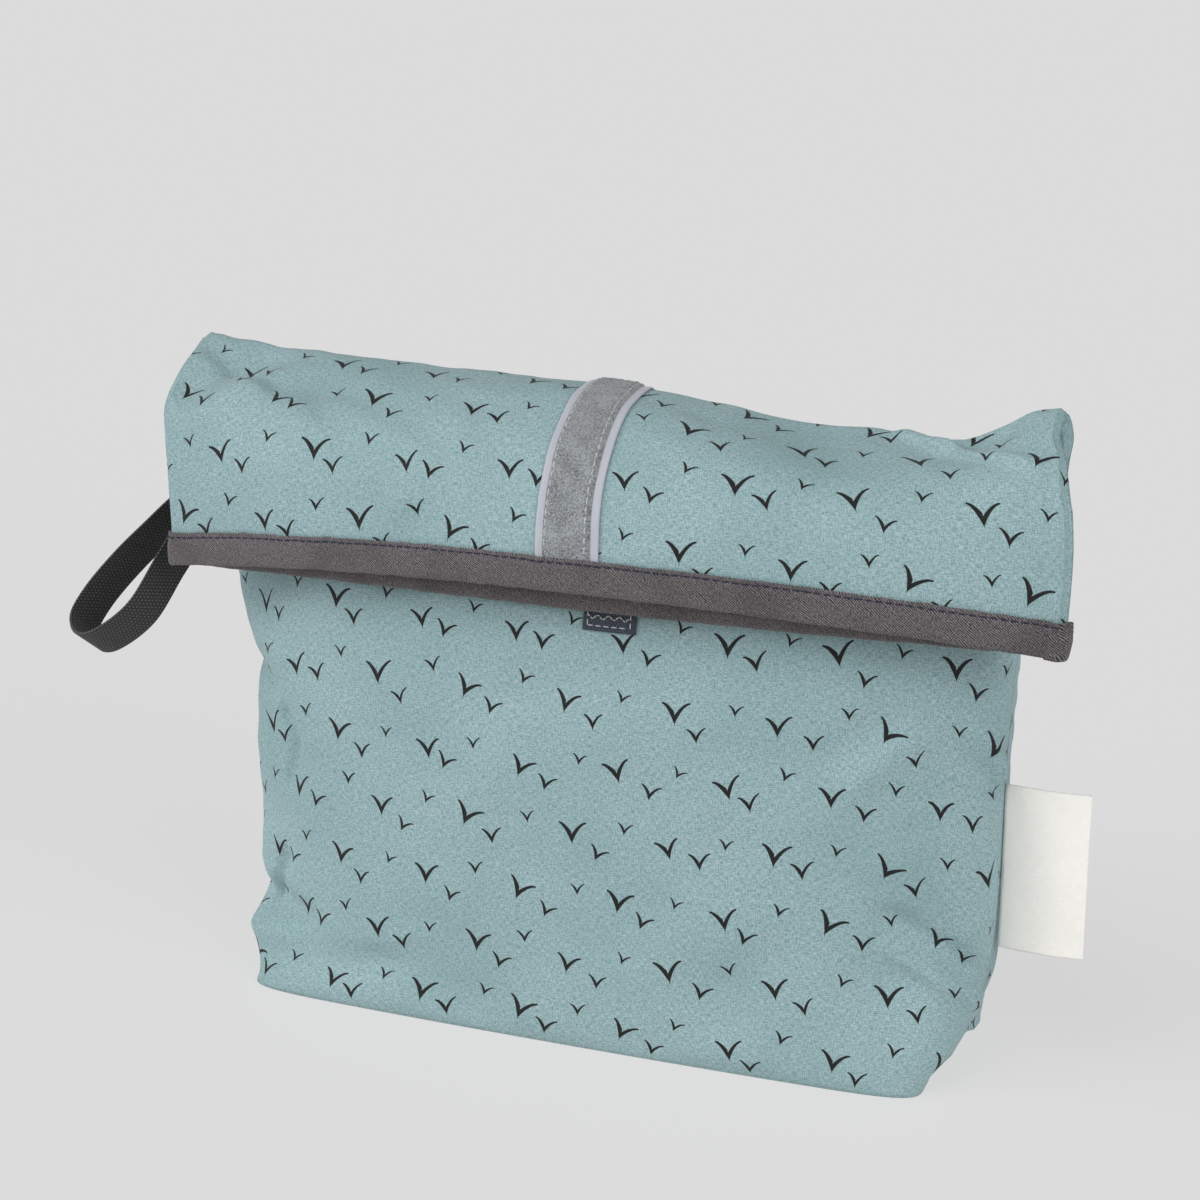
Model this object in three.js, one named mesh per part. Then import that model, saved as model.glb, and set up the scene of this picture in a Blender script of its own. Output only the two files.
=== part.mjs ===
// A cloth wet bag with a boxed base, standing up with its mouth folded forward over its front.
// A front and a back panel of laminated cotton are sewn together along both sides and under the base.
// The top third lies flat, folds over at the back and hangs down in front, so its mouth points at the floor.
// A binding tape wraps the mouth. A loop tape runs over the fold, a hook tape sits on the front below it,
// a webbing loop hangs from the left side seam and a blank cotton tab is sewn into the right one.
// Millimetres. +X is the bag's right as seen from the front, -Y the front, +Z up.
// The origin is the middle of the base, on the surface that the bag stands on.
import * as THREE from "three";
import { mergeVertices } from "three/addons/utils/BufferGeometryUtils.js";

// Driving dimensions of the cloth
const FLAT_WIDTH = 305; // side edge to side edge with the bag laid flat
const BASE_DEPTH = 72; // boxed base, front edge to back edge
const STAND_HEIGHT = 212; // floor to the top of the fold
const CLOTH = 1; // laminated cotton wall
const SEAM_EDGE = 2.2; // radius of the cloth where it turns at a side seam
const FIT = 0.3; // clearance between pieces that touch
const FLAP_REACH = (BASE_DEPTH * 2) / 3; // middle of the base to the hanging flap's front
const FLAP_DROP = 70; // top of the fold to the mouth, at the side seams
const MOUTH_HALF = 5; // half of the hanging flap's thickness, in its middle
const MOUTH_SLIP = 8; // how far the front panel's mouth edge hangs below the back panel's, in the middle
const BASE_SEAM_BACK = 10; // middle of the base to the seam under it

// Driving dimensions of what is sewn on
const BINDING_WIDTH = 10;
const BINDING_WALL = 0.6;
const LOOP_TAPE_WIDTH = 20;
const LOOP_TAPE_WALL = 1.8;
const LOOP_TAPE_X = 2.9; // its middle at the binding, from the middle of the bag
const LOOP_TAPE_LEAN = 5.5; // how much further left it ends
const LOOP_TAPE_LENGTH = 118;
const HOOK_TAPE_WIDTH = 18;
const HOOK_TAPE_WALL = 1.4;
const HOOK_TAPE_X = 11.5;
const HOOK_TAPE_LENGTH = 38;
const HOOK_TAPE_FOOT = STAND_HEIGHT - 72; // floor to its lower end
const STRAP_WIDTH = 13;
const STRAP_WALL = 1.3;
const STRAP_HEIGHT = STAND_HEIGHT - 47.5; // floor to the middle of its sewn ends
const STRAP_REACH = 74.5; // sewn ends to the tip of the loop
const STRAP_OPEN = 30; // gap of the loop, near its middle
const TAB_REACH = 27;
const TAB_HEIGHT = 54;
const TAB_WALL = 0.8;
const TAB_FOOT = 40; // floor to its lower edge

const lerp = THREE.MathUtils.lerp;
const HALF_WIDTH = FLAT_WIDTH / 2;
const HALF_DEPTH = BASE_DEPTH / 2;

// Sections of the standing body. up is a share of STAND_HEIGHT. mid, left and right are where the section's
// middle and its two side seams lie, and front and back how far the cloth stands from there: all shares of
// HALF_DEPTH. box is how square the section is, belly how much of its depth is a plain bulge, take the share
// of the cloth's width that small gathers use up, and shift, a share of HALF_WIDTH, how far it leans right.
const BODY = [
  { up: 0, mid: 0, left: 0, right: 0, front: 1.06, back: 1.02, box: 12, belly: 0.06, take: 0.0175, shift: 0 },
  { up: 0.02, mid: 0, left: 0, right: 0, front: 1.1, back: 1.08, box: 9, belly: 0.07, take: 0.0175, shift: 0 },
  { up: 0.06, mid: 0, left: 0, right: 0, front: 1.12, back: 1.1, box: 5, belly: 0.09, take: 0.0275, shift: 0 },
  { up: 0.13, mid: 0, left: 0, right: 0, front: 1.12, back: 1.12, box: 3.2, belly: 0.12, take: 0.0395, shift: 0 },
  { up: 0.26, mid: 0, left: 0, right: 0, front: 1.13, back: 1.14, box: 2.6, belly: 0.15, take: 0.0505, shift: 0 },
  { up: 0.43, mid: 0, left: 0.01, right: 0.02, front: 1.11, back: 1.14, box: 2.5, belly: 0.18, take: 0.0515, shift: -0.004 },
  { up: 0.59, mid: 0, left: 0.04, right: 0.05, front: 1.04, back: 1.08, box: 2.4, belly: 0.2, take: 0.0455, shift: -0.011 },
  { up: 0.68, mid: 0, left: 0.1, right: 0.1, front: 0.95, back: 1.04, box: 2.3, belly: 0.2, take: 0.0395, shift: -0.015 },
  { up: 0.76, mid: 0.02, left: 0.2, right: 0.2, front: 0.86, back: 0.98, box: 2.2, belly: 0.2, take: 0.0295, shift: -0.021 },
  { up: 0.84, mid: 0.06, left: 0.32, right: 0.31, front: 0.72, back: 0.84, box: 2.1, belly: 0.3, take: 0.0175, shift: -0.03 },
  { up: 0.9, mid: 0.13, left: 0.4, right: 0.38, front: 0.5, back: 0.62, box: 2, belly: 0.45, take: 0.0105, shift: -0.038 },
];

// Sections of the fold and the hanging flap. out is a share of FLAP_REACH forward of the base's middle and
// down a share of FLAP_DROP below the fold's top, each as [middle, left seam, right seam]. turn is how far the
// back panel has turned forward, in degrees. front and back are shares of MOUTH_HALF. take and shift are as in
// the table above.
const FLAP = [
  { out: [-0.19, -0.325, -0.31], down: [0.195, 0.11, 0.13], turn: 16, front: 1.3, back: 1.5, take: 0.006, shift: -0.046 },
  { out: [-0.06, -0.29, -0.29], down: [0.1, 0.035, 0.05], turn: 58, front: 0.7, back: 0.76, take: 0.008, shift: -0.057 },
  { out: [0.21, -0.06, -0.08], down: [0.115, 0.088, 0.115], turn: 108, front: 0.62, back: 0.7, take: 0.006, shift: -0.048 },
  { out: [0.5, 0.18, 0.12], down: [0.19, 0.145, 0.2], turn: 128, front: 0.7, back: 0.74, take: 0, shift: -0.026 },
  { out: [0.73, 0.41, 0.28], down: [0.335, 0.285, 0.335], turn: 150, front: 0.82, back: 0.84, take: 0, shift: -0.012 },
  { out: [0.86, 0.465, 0.37], down: [0.51, 0.54, 0.56], turn: 171, front: 0.94, back: 0.94, take: 0, shift: 0.003 },
  { out: [0.893, 0.475, 0.44], down: [0.655, 0.845, 0.81], turn: 180, front: 1, back: 1, take: 0, shift: 0.006 },
  { out: [0.893, 0.475, 0.48], down: [0.8, 0.995, 0.955], turn: 180, front: 1, back: 1, take: 0, shift: 0.006 },
];
const FLAP_BELLY = 0.8;

// Dents and folds. row counts sections from the floor, across is a share of the half width, right positive,
// and long and wide are their reach in the same units. depth is a share of HALF_DEPTH. face is the panel that
// they press in, or both for a dent that moves both of them. lean tilts a fold, in rows for each half width.
const DENTS = [
  { row: 12.7, across: 0.6, long: 1.9, wide: 0.36, depth: 0.31, face: "both", lean: 0.8 },
  { row: 12.9, across: 0.82, long: 0.6, wide: 0.13, depth: 0.1, face: "both", lean: 3 },
  { row: 13.3, across: -0.72, long: 0.8, wide: 0.2, depth: 0.13, face: "both", lean: 3 },
  { row: 15, across: -0.86, long: 1.2, wide: 0.1, depth: 0.05, face: "both", lean: 4 },
  { row: 9.9, across: 0.66, long: 0.85, wide: 0.3, depth: 0.12, face: "front", lean: 0 },
  { row: 6.4, across: -0.93, long: 0.8, wide: 0.1, depth: 0.16, face: "front", lean: 2 },
  { row: 3.1, across: -0.88, long: 0.9, wide: 0.13, depth: 0.17, face: "front", lean: 1 },
  { row: 2.2, across: -0.55, long: 0.7, wide: 0.3, depth: 0.05, face: "front", lean: 0 },
  { row: 3.3, across: 0.84, long: 0.8, wide: 0.1, depth: 0.09, face: "front", lean: -2 },
  { row: 5.2, across: 0.9, long: 0.7, wide: 0.08, depth: 0.08, face: "front", lean: -3 },
  { row: 3.5, across: 0.9, long: 1, wide: 0.12, depth: 0.12, face: "back", lean: 1 },
  { row: 3.3, across: -0.9, long: 1, wide: 0.12, depth: 0.12, face: "back", lean: -1 },
  { row: 5.6, across: 0.1, long: 1.6, wide: 0.35, depth: 0.1, face: "back", lean: 2 },
];

// Both tables as one list of sections in millimetres and radians. y and z are [middle, left seam, right seam].
const SECTIONS = [
  ...BODY.map((s) => ({
    y: [s.mid, s.left, s.right].map((share) => share * HALF_DEPTH),
    z: [0, 0, 0].map(() => s.up * STAND_HEIGHT),
    turn: 0,
    front: s.front * HALF_DEPTH,
    back: s.back * HALF_DEPTH,
    box: s.box,
    belly: s.belly,
    take: s.take,
    shift: s.shift * HALF_WIDTH,
  })),
  ...FLAP.map((s) => ({
    y: s.out.map((share) => -share * FLAP_REACH),
    z: s.down.map((share) => STAND_HEIGHT - share * FLAP_DROP),
    turn: THREE.MathUtils.degToRad(s.turn),
    front: s.front * MOUTH_HALF,
    back: s.back * MOUTH_HALF,
    box: 2,
    belly: FLAP_BELLY,
    take: s.take,
    shift: s.shift * HALF_WIDTH,
  })),
];
const FOLD = BODY.length; // the first section of the fold
const MOUTH = SECTIONS.length - 1; // the last section, at the mouth's edge

// A smooth curve through values at 0, 1, 2 and so on that never overshoots them.
function monotone(values) {
  const step = values.slice(1).map((v, i) => v - values[i]);
  const slope = values.map((_, i) => {
    const [before, after] = [step[Math.max(i - 1, 0)], step[Math.min(i, step.length - 1)]];
    return before * after > 0 ? (2 * before * after) / (before + after) : 0;
  });
  return (s) => {
    const i = Math.min(Math.max(Math.floor(s), 0), values.length - 2);
    const t = s - i;
    const rise = t * t * (3 - 2 * t);
    const bend = t * (1 - t) * ((1 - t) * slope[i] - t * slope[i + 1]);
    return values[i] + rise * step[i] + bend;
  };
}

const curveOf = (read) => monotone(SECTIONS.map(read));
const TRACK = {
  y: [0, 1, 2].map((i) => curveOf((s) => s.y[i])),
  z: [0, 1, 2].map((i) => curveOf((s) => s.z[i])),
  turn: curveOf((s) => s.turn),
  front: curveOf((s) => s.front),
  back: curveOf((s) => s.back),
  box: curveOf((s) => s.box),
  belly: curveOf((s) => s.belly),
  take: curveOf((s) => s.take),
  shift: curveOf((s) => s.shift),
};

const SIGN = { front: -1, back: 1 };
const SEAM_EASE = 2.2; // power with which a section's line bends towards its side seams

// How deep one dent presses at a place of a section.
function dentDepth(dent, s, across) {
  const dx = across - dent.across;
  const ds = s - dent.row - dent.lean * dx;
  const fade = 1 - across ** 8;
  return fade * dent.depth * HALF_DEPTH * Math.exp(-((dx / dent.wide) ** 2) - (ds / dent.long) ** 2);
}

// A point of a section's outer face. across runs from -1 at the left seam to 1 at the right one.
function facePoint(row, face, across) {
  const past = Math.max(0, 1 - ((1 - Math.abs(across)) * row.half) / SEAM_EDGE);
  const end = Math.sqrt(Math.max(0, 1 - past * past));
  const square = (1 - Math.abs(across) ** row.box) ** (1 / row.box);
  const bulge = lerp(square, 1 - across * across, row.belly);
  let stand = (FIT / 2 + SEAM_EDGE * end + (row[face] - SEAM_EDGE) * bulge) * SIGN[face];
  const slid = face === "front" ? Math.max(0, (row.s - FOLD) / (MOUTH - FOLD)) ** 3 : 0;
  const slip = MOUTH_SLIP * slid * (1 - across * across);
  const side = across < 0 ? 1 : 2;
  const toSide = Math.abs(across) ** SEAM_EASE;
  let y = lerp(row.y[0], row.y[side], toSide);
  let z = lerp(row.z[0], row.z[side], toSide);
  for (const dent of DENTS) {
    const press = dentDepth(dent, row.s, across);
    if (dent.face === face) stand -= press * SIGN[face];
    if (dent.face === "both") {
      const turn = TRACK.turn(dent.row);
      y -= press * Math.cos(turn);
      z -= press * Math.sin(turn);
    }
  }
  const [cos, sin] = [Math.cos(row.turn), Math.sin(row.turn)];
  return new THREE.Vector3(
    row.shift + row.half * across,
    y + cos * stand - sin * slip,
    z + sin * stand + cos * slip,
  );
}

// One face of a section as points packed towards the seams, with their length along the cloth.
const SAMPLES = 100;
const SAMPLE_ACROSS = Array.from({ length: SAMPLES + 1 }, (_, i) => -Math.cos((Math.PI * i) / SAMPLES));
function trace(row, face) {
  const points = SAMPLE_ACROSS.map((across) => facePoint(row, face, across));
  const length = [0];
  for (let i = 1; i <= SAMPLES; i++) length.push(length[i - 1] + points[i].distanceTo(points[i - 1]));
  return length;
}

// Columns are lengths along the cloth, as shares from seam to seam, a little closer together near the seams.
const COLUMNS = 24;
const EVEN = 0.5; // the share of even spacing in the columns
const SPREAD = Array.from({ length: COLUMNS + 1 }, (_, i) => {
  const t = (2 * i) / COLUMNS - 1;
  return 0.5 + 0.5 * (EVEN * t + (1 - EVEN) * Math.sin((Math.PI / 2) * t));
});

function columnsOf(row, face) {
  const length = trace(row, face);
  return SPREAD.map((share) => {
    const want = share * length[SAMPLES];
    const i = Math.max(1, length.findIndex((l) => l >= want - 1e-9));
    const t = (want - length[i - 1]) / (length[i] - length[i - 1]);
    return lerp(SAMPLE_ACROSS[i - 1], SAMPLE_ACROSS[i], t);
  });
}

// A section at s, as wide as the cloth round it allows, with the columns of both faces.
const HALVINGS = 24; // of the span in which its width is looked for
function makeRow(s) {
  const row = { s, y: TRACK.y.map((f) => f(s)), z: TRACK.z.map((f) => f(s)) };
  for (const name of ["turn", "front", "back", "box", "belly", "take", "shift"]) row[name] = TRACK[name](s);
  const wanted = FLAT_WIDTH * (1 - row.take);
  let [low, high] = [HALF_WIDTH / 2, HALF_WIDTH];
  for (let i = 0; i < HALVINGS; i++) {
    row.half = (low + high) / 2;
    const around = (trace(row, "front")[SAMPLES] + trace(row, "back")[SAMPLES]) / 2;
    if (around > wanted) high = row.half;
    else low = row.half;
  }
  row.columns = { front: columnsOf(row, "front"), back: columnsOf(row, "back") };
  return row;
}

// The sections that the cloth is lofted through.
const STEPS = 2;
const ROWS = Array.from({ length: MOUTH * STEPS + 1 }, (_, i) => makeRow(i / STEPS));

// A point at a depth in the cloth, square to its outer face, and outside it if the depth is negative.
const NEARBY = 0.02;
const TINY = 1e-6;
function pointAt(row, face, across, inset) {
  const point = facePoint(row, face, across);
  if (Math.abs(across) > 1 - TINY) return point.setX(point.x - Math.sign(across) * inset);
  row.below ??= makeRow(row.s - NEARBY);
  row.above ??= makeRow(row.s + NEARBY);
  const aside = Math.min(NEARBY, 1 - Math.abs(across)) / 2;
  const over = facePoint(row, face, across + aside).sub(facePoint(row, face, across - aside));
  const along = facePoint(row.above, face, across).sub(facePoint(row.below, face, across));
  const outwards = over.cross(along).normalize().multiplyScalar(-SIGN[face]);
  return point.addScaledVector(outwards, -inset);
}

const arc = (row, face, inset) => row.columns[face].map((across) => pointAt(row, face, across, inset));

// An arc under the base: share of the way from the seam under it out to the rim.
const SEAM_LINE = 0.74; // length of the seam under the base, as a share of the base's width
function baseArc(face, share, inset) {
  const rim = arc(ROWS[0], face, inset);
  return rim.map((p, i) => {
    const line = (2 * SPREAD[i] - 1) * (ROWS[0].half - inset) * SEAM_LINE;
    const seam = BASE_SEAM_BACK + (SIGN[face] * FIT) / 2;
    return new THREE.Vector3(lerp(line, p.x, share), lerp(seam, p.y, share), inset);
  });
}

const WELD = 1e-4;
function solid(positions, index) {
  const geometry = new THREE.BufferGeometry();
  const numbers = positions.flatMap((p) => [p.x, p.y, p.z]);
  geometry.setAttribute("position", new THREE.Float32BufferAttribute(numbers, 3));
  geometry.setIndex(index);
  return mergeVertices(geometry, WELD);
}

// Loops of points joined each to the next, and the last to the first if the piece is a ring. An open one is
// capped by strips, so its loops are an outer row and then the inner row backwards.
function join(loops, { ring = false, flip = false } = {}) {
  const width = loops[0].length;
  const index = [];
  const quad = (a, b, c, d) => index.push(...(flip ? [a, c, b, a, d, c] : [a, b, c, a, c, d]));
  const steps = ring ? loops.length : loops.length - 1;
  for (let i = 0; i < steps; i++) {
    const [here, next] = [i * width, ((i + 1) % loops.length) * width];
    for (let j = 0; j < width; j++) {
      const k = (j + 1) % width;
      quad(here + j, here + k, next + k, next + j);
    }
  }
  for (let j = 0; !ring && j + 1 < width / 2; j++) {
    const [a, b, c, d] = [j, j + 1, width - 2 - j, width - 1 - j];
    quad(d, c, b, a);
    const end = steps * width;
    quad(end + a, end + b, end + c, end + d);
  }
  return solid(loops.flat(), index);
}

// A sheet with a wall, from its outer and inner rows.
function sheet(outer, inner, flip) {
  return join(outer.map((row, i) => [...row, ...inner[i].toReversed()]), { flip });
}

// A panel: from the seam under the base out to the rim, and up to the mouth.
const BASE_SHARES = [0, 0.5];
function panel(face) {
  const skin = (inset) => [
    ...BASE_SHARES.map((share) => baseArc(face, share, inset)),
    ...ROWS.map((row) => arc(row, face, inset).map((p) => (p.z < inset ? p.setZ(inset) : p))),
  ];
  return sheet(skin(0), skin(CLOTH), face === "back");
}

// How far along the sections a length measured back from the mouth reaches, on the back panel's middle line.
const HOP = 0.05; // of a section, in each step of that walk
function backFromMouth(length) {
  let [s, left] = [MOUTH, length];
  let here = pointAt(makeRow(s), "back", 0, 0);
  while (left > 0) {
    const next = pointAt(makeRow(s - HOP), "back", 0, 0);
    const step = here.distanceTo(next);
    s -= HOP * Math.min(1, left / step);
    left -= step;
    here = next;
  }
  return s;
}

// Where along the standing body a height is reached.
function atHeight(z) {
  let s = 0;
  while (TRACK.z[0](s) < z) s += NEARBY;
  return s;
}

// The binding wraps the mouth: down its outer face, round the raw edge and up its inner face.
function mouthBinding() {
  const [top, middle, edge] = [BINDING_WIDTH, BINDING_WIDTH / 2, 0].map((l) => makeRow(backFromMouth(l)));
  const over = FIT + BINDING_WALL;
  const around = (row, inset, drop) =>
    [...arc(row, "front", inset), ...arc(row, "back", inset).toReversed()].map((p) => p.setZ(p.z - drop));
  const profile = [
    around(top, -over, 0),
    around(middle, -over, 0),
    around(edge, -over, over),
    around(edge, CLOTH + over, over),
    around(middle, CLOTH + over, 0),
    around(top, CLOTH + over, 0),
    around(top, CLOTH + FIT, 0),
    around(middle, CLOTH + FIT, 0),
    around(edge, CLOTH + FIT, FIT),
    around(edge, -FIT, FIT),
    around(middle, -FIT, 0),
    around(top, -FIT, 0),
  ];
  return join(profile, { ring: true });
}

// A tape sewn flat on a panel, between two places along the sections.
const TAPE_SPOTS = [-0.5, -0.17, 0.17, 0.5];
function tape(face, x, width, wall, from, to, lean = 0) {
  const between = ROWS.map((row) => row.s).filter((s) => s > from + 0.1 && s < to - 0.1);
  const rows = [from, ...between, to].map(makeRow);
  const middle = (row) => x - (lean * (to - row.s)) / (to - from);
  const acrossAt = (row, share) => (middle(row) + share * width - row.shift) / row.half;
  const skin = (inset) =>
    rows.map((row) => TAPE_SPOTS.map((share) => pointAt(row, face, acrossAt(row, share), inset)));
  return sheet(skin(-FIT - wall), skin(-FIT), face === "back");
}

// A flat band along a path, with its width direction at each point.
function band(path, across, width, wall) {
  const skin = (lift) =>
    path.map((p, i) => {
      const along = path[Math.min(i + 1, path.length - 1)].clone().sub(path[Math.max(i - 1, 0)]);
      const side = across[i].clone().normalize();
      const out = along.cross(side).normalize();
      const edge = (share) => p.clone().addScaledVector(side, share * width).addScaledVector(out, lift * wall);
      return [edge(-0.5), edge(0.5)];
    });
  return sheet(skin(0.5), skin(-0.5), true);
}

// Where the side seam is at a height, just clear of the cloth.
function seamAt(z, across) {
  const seam = pointAt(makeRow(atHeight(z)), "front", across, -FIT);
  return new THREE.Vector3(seam.x, seam.y + FIT / 2, z);
}

// The webbing loop hangs forward and down from its two sewn ends. Each row is a point of its middle line: a
// share of its reach and of half its gap, from the far end round the tip to the near end.
const STRAP_ROUTE = [
  { reach: 0.12, open: -0.25 },
  { reach: 0.36, open: -0.55 },
  { reach: 0.62, open: -0.68 },
  { reach: 0.85, open: -0.55 },
  { reach: 0.96, open: -0.27 },
  { reach: 0.99, open: 0.12 },
  { reach: 0.98, open: 0.55 },
  { reach: 0.91, open: 0.95 },
  { reach: 0.7, open: 1.25 },
  { reach: 0.46, open: 0.74 },
  { reach: 0.2, open: 0.2 },
];
const STRAP_HANG = new THREE.Vector3(-0.585, -0.33, -0.68).normalize();
const STRAP_ACROSS = new THREE.Vector3(0.41, 0.64, -0.65); // its width direction where it hangs free
const STRAP_SPREAD = STRAP_HANG.clone().cross(STRAP_ACROSS).normalize();
const STRAP_FREE = 0.5; // share of the reach over which the webbing twists from its seam
function webbingLoop() {
  const seat = seamAt(STRAP_HEIGHT, -1);
  const sewn = (side) => seat.clone().add(new THREE.Vector3(0, side * (STRAP_WALL + FIT) * 0.5, 0));
  const free = STRAP_ROUTE.map((r) =>
    seat
      .clone()
      .addScaledVector(STRAP_HANG, r.reach * STRAP_REACH)
      .addScaledVector(STRAP_SPREAD, (r.open * STRAP_OPEN) / 2),
  );
  const curve = new THREE.CatmullRomCurve3([sewn(1), ...free, sewn(-1)], false, "centripetal");
  const path = curve.getSpacedPoints(3 * STRAP_ROUTE.length);
  const [top, foot] = [0.5, -0.5].map((share) => seamAt(STRAP_HEIGHT + share * STRAP_WIDTH, -1));
  const alongSeam = foot.sub(top).normalize();
  const across = path.map((p) => {
    const reach = p.clone().sub(seat).dot(STRAP_HANG) / STRAP_REACH;
    return alongSeam.clone().lerp(STRAP_ACROSS, THREE.MathUtils.smoothstep(reach, 0, STRAP_FREE));
  });
  return band(path, across, STRAP_WIDTH, STRAP_WALL);
}

// The blank tab, sewn into the right side seam. It bows a little to the front. Both columns are shares of its
// reach, out from the seam and forward of it.
const TAB_BEND = [
  { share: 0, curl: 0 },
  { share: 0.25, curl: -0.035 },
  { share: 0.6, curl: -0.06 },
  { share: 1, curl: -0.035 },
];
const TAB_RISE = [0, 0.25, 0.5, 0.75, 1];
function sideTab() {
  const skin = (lift) =>
    TAB_RISE.map((rise) => {
      const seam = seamAt(TAB_FOOT + rise * TAB_HEIGHT, 1);
      const spot = (bend) => [bend.share * TAB_REACH, bend.curl * TAB_REACH + lift * TAB_WALL, 0];
      return TAB_BEND.map((bend) => new THREE.Vector3(...spot(bend)).add(seam));
    });
  return sheet(skin(-0.5), skin(0.5), false);
}

const PRINT_CLOTH = new THREE.MeshStandardMaterial({ color: 0x8fb5b4, roughness: 0.62, metalness: 0 });
const GREY_TWILL = new THREE.MeshStandardMaterial({ color: 0x5e5a5b, roughness: 0.85, metalness: 0 });
const SILVER_PILE = new THREE.MeshStandardMaterial({ color: 0x9a9da0, roughness: 0.95, metalness: 0 });
const SLATE_HOOK = new THREE.MeshStandardMaterial({ color: 0x4a505c, roughness: 0.6, metalness: 0 });
const BLACK_WEBBING = new THREE.MeshStandardMaterial({ color: 0x2b292a, roughness: 0.75, metalness: 0 });
const CREAM_COTTON = new THREE.MeshStandardMaterial({ color: 0xe6e3dd, roughness: 0.85, metalness: 0 });

function piece(name, geometry, material) {
  geometry.computeVertexNormals();
  const mesh = new THREE.Mesh(geometry, material);
  mesh.name = name;
  return mesh;
}

function loopTape() {
  const foot = backFromMouth(BINDING_WIDTH + FIT);
  const end = backFromMouth(BINDING_WIDTH + LOOP_TAPE_LENGTH);
  return tape("back", LOOP_TAPE_X, LOOP_TAPE_WIDTH, LOOP_TAPE_WALL, end, foot, LOOP_TAPE_LEAN);
}

function hookTape() {
  const [foot, head] = [atHeight(HOOK_TAPE_FOOT), atHeight(HOOK_TAPE_FOOT + HOOK_TAPE_LENGTH)];
  return tape("front", HOOK_TAPE_X, HOOK_TAPE_WIDTH, HOOK_TAPE_WALL, foot, head);
}

const bag = new THREE.Group();
bag.add(
  piece("front_panel", panel("front"), PRINT_CLOTH),
  piece("back_panel", panel("back"), PRINT_CLOTH),
  piece("mouth_binding", mouthBinding(), GREY_TWILL),
  piece("loop_tape", loopTape(), SILVER_PILE),
  piece("hook_tape", hookTape(), SLATE_HOOK),
  piece("webbing_loop", webbingLoop(), BLACK_WEBBING),
  piece("side_tab", sideTab(), CREAM_COTTON),
);

export default bag;
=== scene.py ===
"""A cloth wet bag with a boxed base, standing with its mouth folded forward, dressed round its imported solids.

The cloth is lofted from the same sections as the solids, in millimetres: +X the bag's right, +Y the back,
+Z up.
Every point of a panel is found by u, its distance across the cloth from the middle line, and v, its distance
along the cloth from the base's rim, so tapes, bindings, stitches and the print all follow the folds.
"""

import functools
import math

import bpy
import numpy as np
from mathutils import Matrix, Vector


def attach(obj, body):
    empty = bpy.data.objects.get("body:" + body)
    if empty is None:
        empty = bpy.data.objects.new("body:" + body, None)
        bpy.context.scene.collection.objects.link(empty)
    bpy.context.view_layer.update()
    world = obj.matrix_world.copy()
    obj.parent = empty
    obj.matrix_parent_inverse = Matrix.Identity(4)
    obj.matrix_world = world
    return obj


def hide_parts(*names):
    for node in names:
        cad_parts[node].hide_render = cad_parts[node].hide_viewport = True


bl_info = {
    "name": "Wet bag",
    "version": (1, 0, 0),
    "blender": (4, 5, 0),
    "location": "3D View > Sidebar > Wet bag",
    "description": "Makes the cloth, bindings, tapes, webbing and stage of a fold-over wet bag",
    "category": "Object",
}

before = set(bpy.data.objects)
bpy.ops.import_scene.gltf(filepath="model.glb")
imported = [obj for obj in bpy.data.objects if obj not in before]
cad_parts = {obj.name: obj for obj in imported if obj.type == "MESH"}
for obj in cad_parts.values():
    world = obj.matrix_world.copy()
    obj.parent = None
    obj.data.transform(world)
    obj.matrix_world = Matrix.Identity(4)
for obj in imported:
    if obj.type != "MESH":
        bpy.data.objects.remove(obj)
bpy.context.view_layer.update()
MM = 0.001

# Driving dimensions, as in the part's source
FLAT_WIDTH = 305.0
BASE_DEPTH = 72.0
STAND_HEIGHT = 212.0
CLOTH = 1.0
SEAM_EDGE = 2.2
FIT = 0.3
FLAP_REACH = 48.0
FLAP_DROP = 70.0
MOUTH_HALF = 5.0
MOUTH_SLIP = 8.0
BASE_SEAM_BACK = 10.0
BINDING_WIDTH = 10.0
LOOP_TAPE_WIDTH = 20.0
LOOP_TAPE_X = 2.9
LOOP_TAPE_LEAN = 5.5
LOOP_TAPE_LENGTH = 118.0
HOOK_TAPE_WIDTH = 18.0
HOOK_TAPE_X = 11.5
HOOK_TAPE_LENGTH = 38.0
HOOK_TAPE_FOOT = 140.0
HALF_WIDTH = FLAT_WIDTH / 2
HALF_DEPTH = BASE_DEPTH / 2

# Not in the part's source: half length of the seam under the base as a share of the rim's, and how far in
# from the side seams their stitches run
SEAM_LINE = 0.74
SEAM_STITCH = 3.6

# How much of its colour the floor's paper gives back, next to what it glows with
PAPER_MATT = 0.2

# Sections of the standing body: up, mid, left, right, front, back, box, belly, take, shift
BODY = np.array([
    [0, 0, 0, 0, 1.06, 1.02, 12, 0.06, 0.0175, 0],
    [0.02, 0, 0, 0, 1.1, 1.08, 9, 0.07, 0.0175, 0],
    [0.06, 0, 0, 0, 1.12, 1.1, 5, 0.09, 0.0275, 0],
    [0.13, 0, 0, 0, 1.12, 1.12, 3.2, 0.12, 0.0395, 0],
    [0.26, 0, 0, 0, 1.13, 1.14, 2.6, 0.15, 0.0505, 0],
    [0.43, 0, 0.01, 0.02, 1.11, 1.14, 2.5, 0.18, 0.0515, -0.004],
    [0.59, 0, 0.04, 0.05, 1.04, 1.08, 2.4, 0.2, 0.0455, -0.011],
    [0.68, 0, 0.1, 0.1, 0.95, 1.04, 2.3, 0.2, 0.0395, -0.015],
    [0.76, 0.02, 0.2, 0.2, 0.86, 0.98, 2.2, 0.2, 0.0295, -0.021],
    [0.84, 0.06, 0.32, 0.31, 0.72, 0.84, 2.1, 0.3, 0.0175, -0.03],
    [0.9, 0.13, 0.4, 0.38, 0.5, 0.62, 2, 0.45, 0.0105, -0.038],
])

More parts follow.
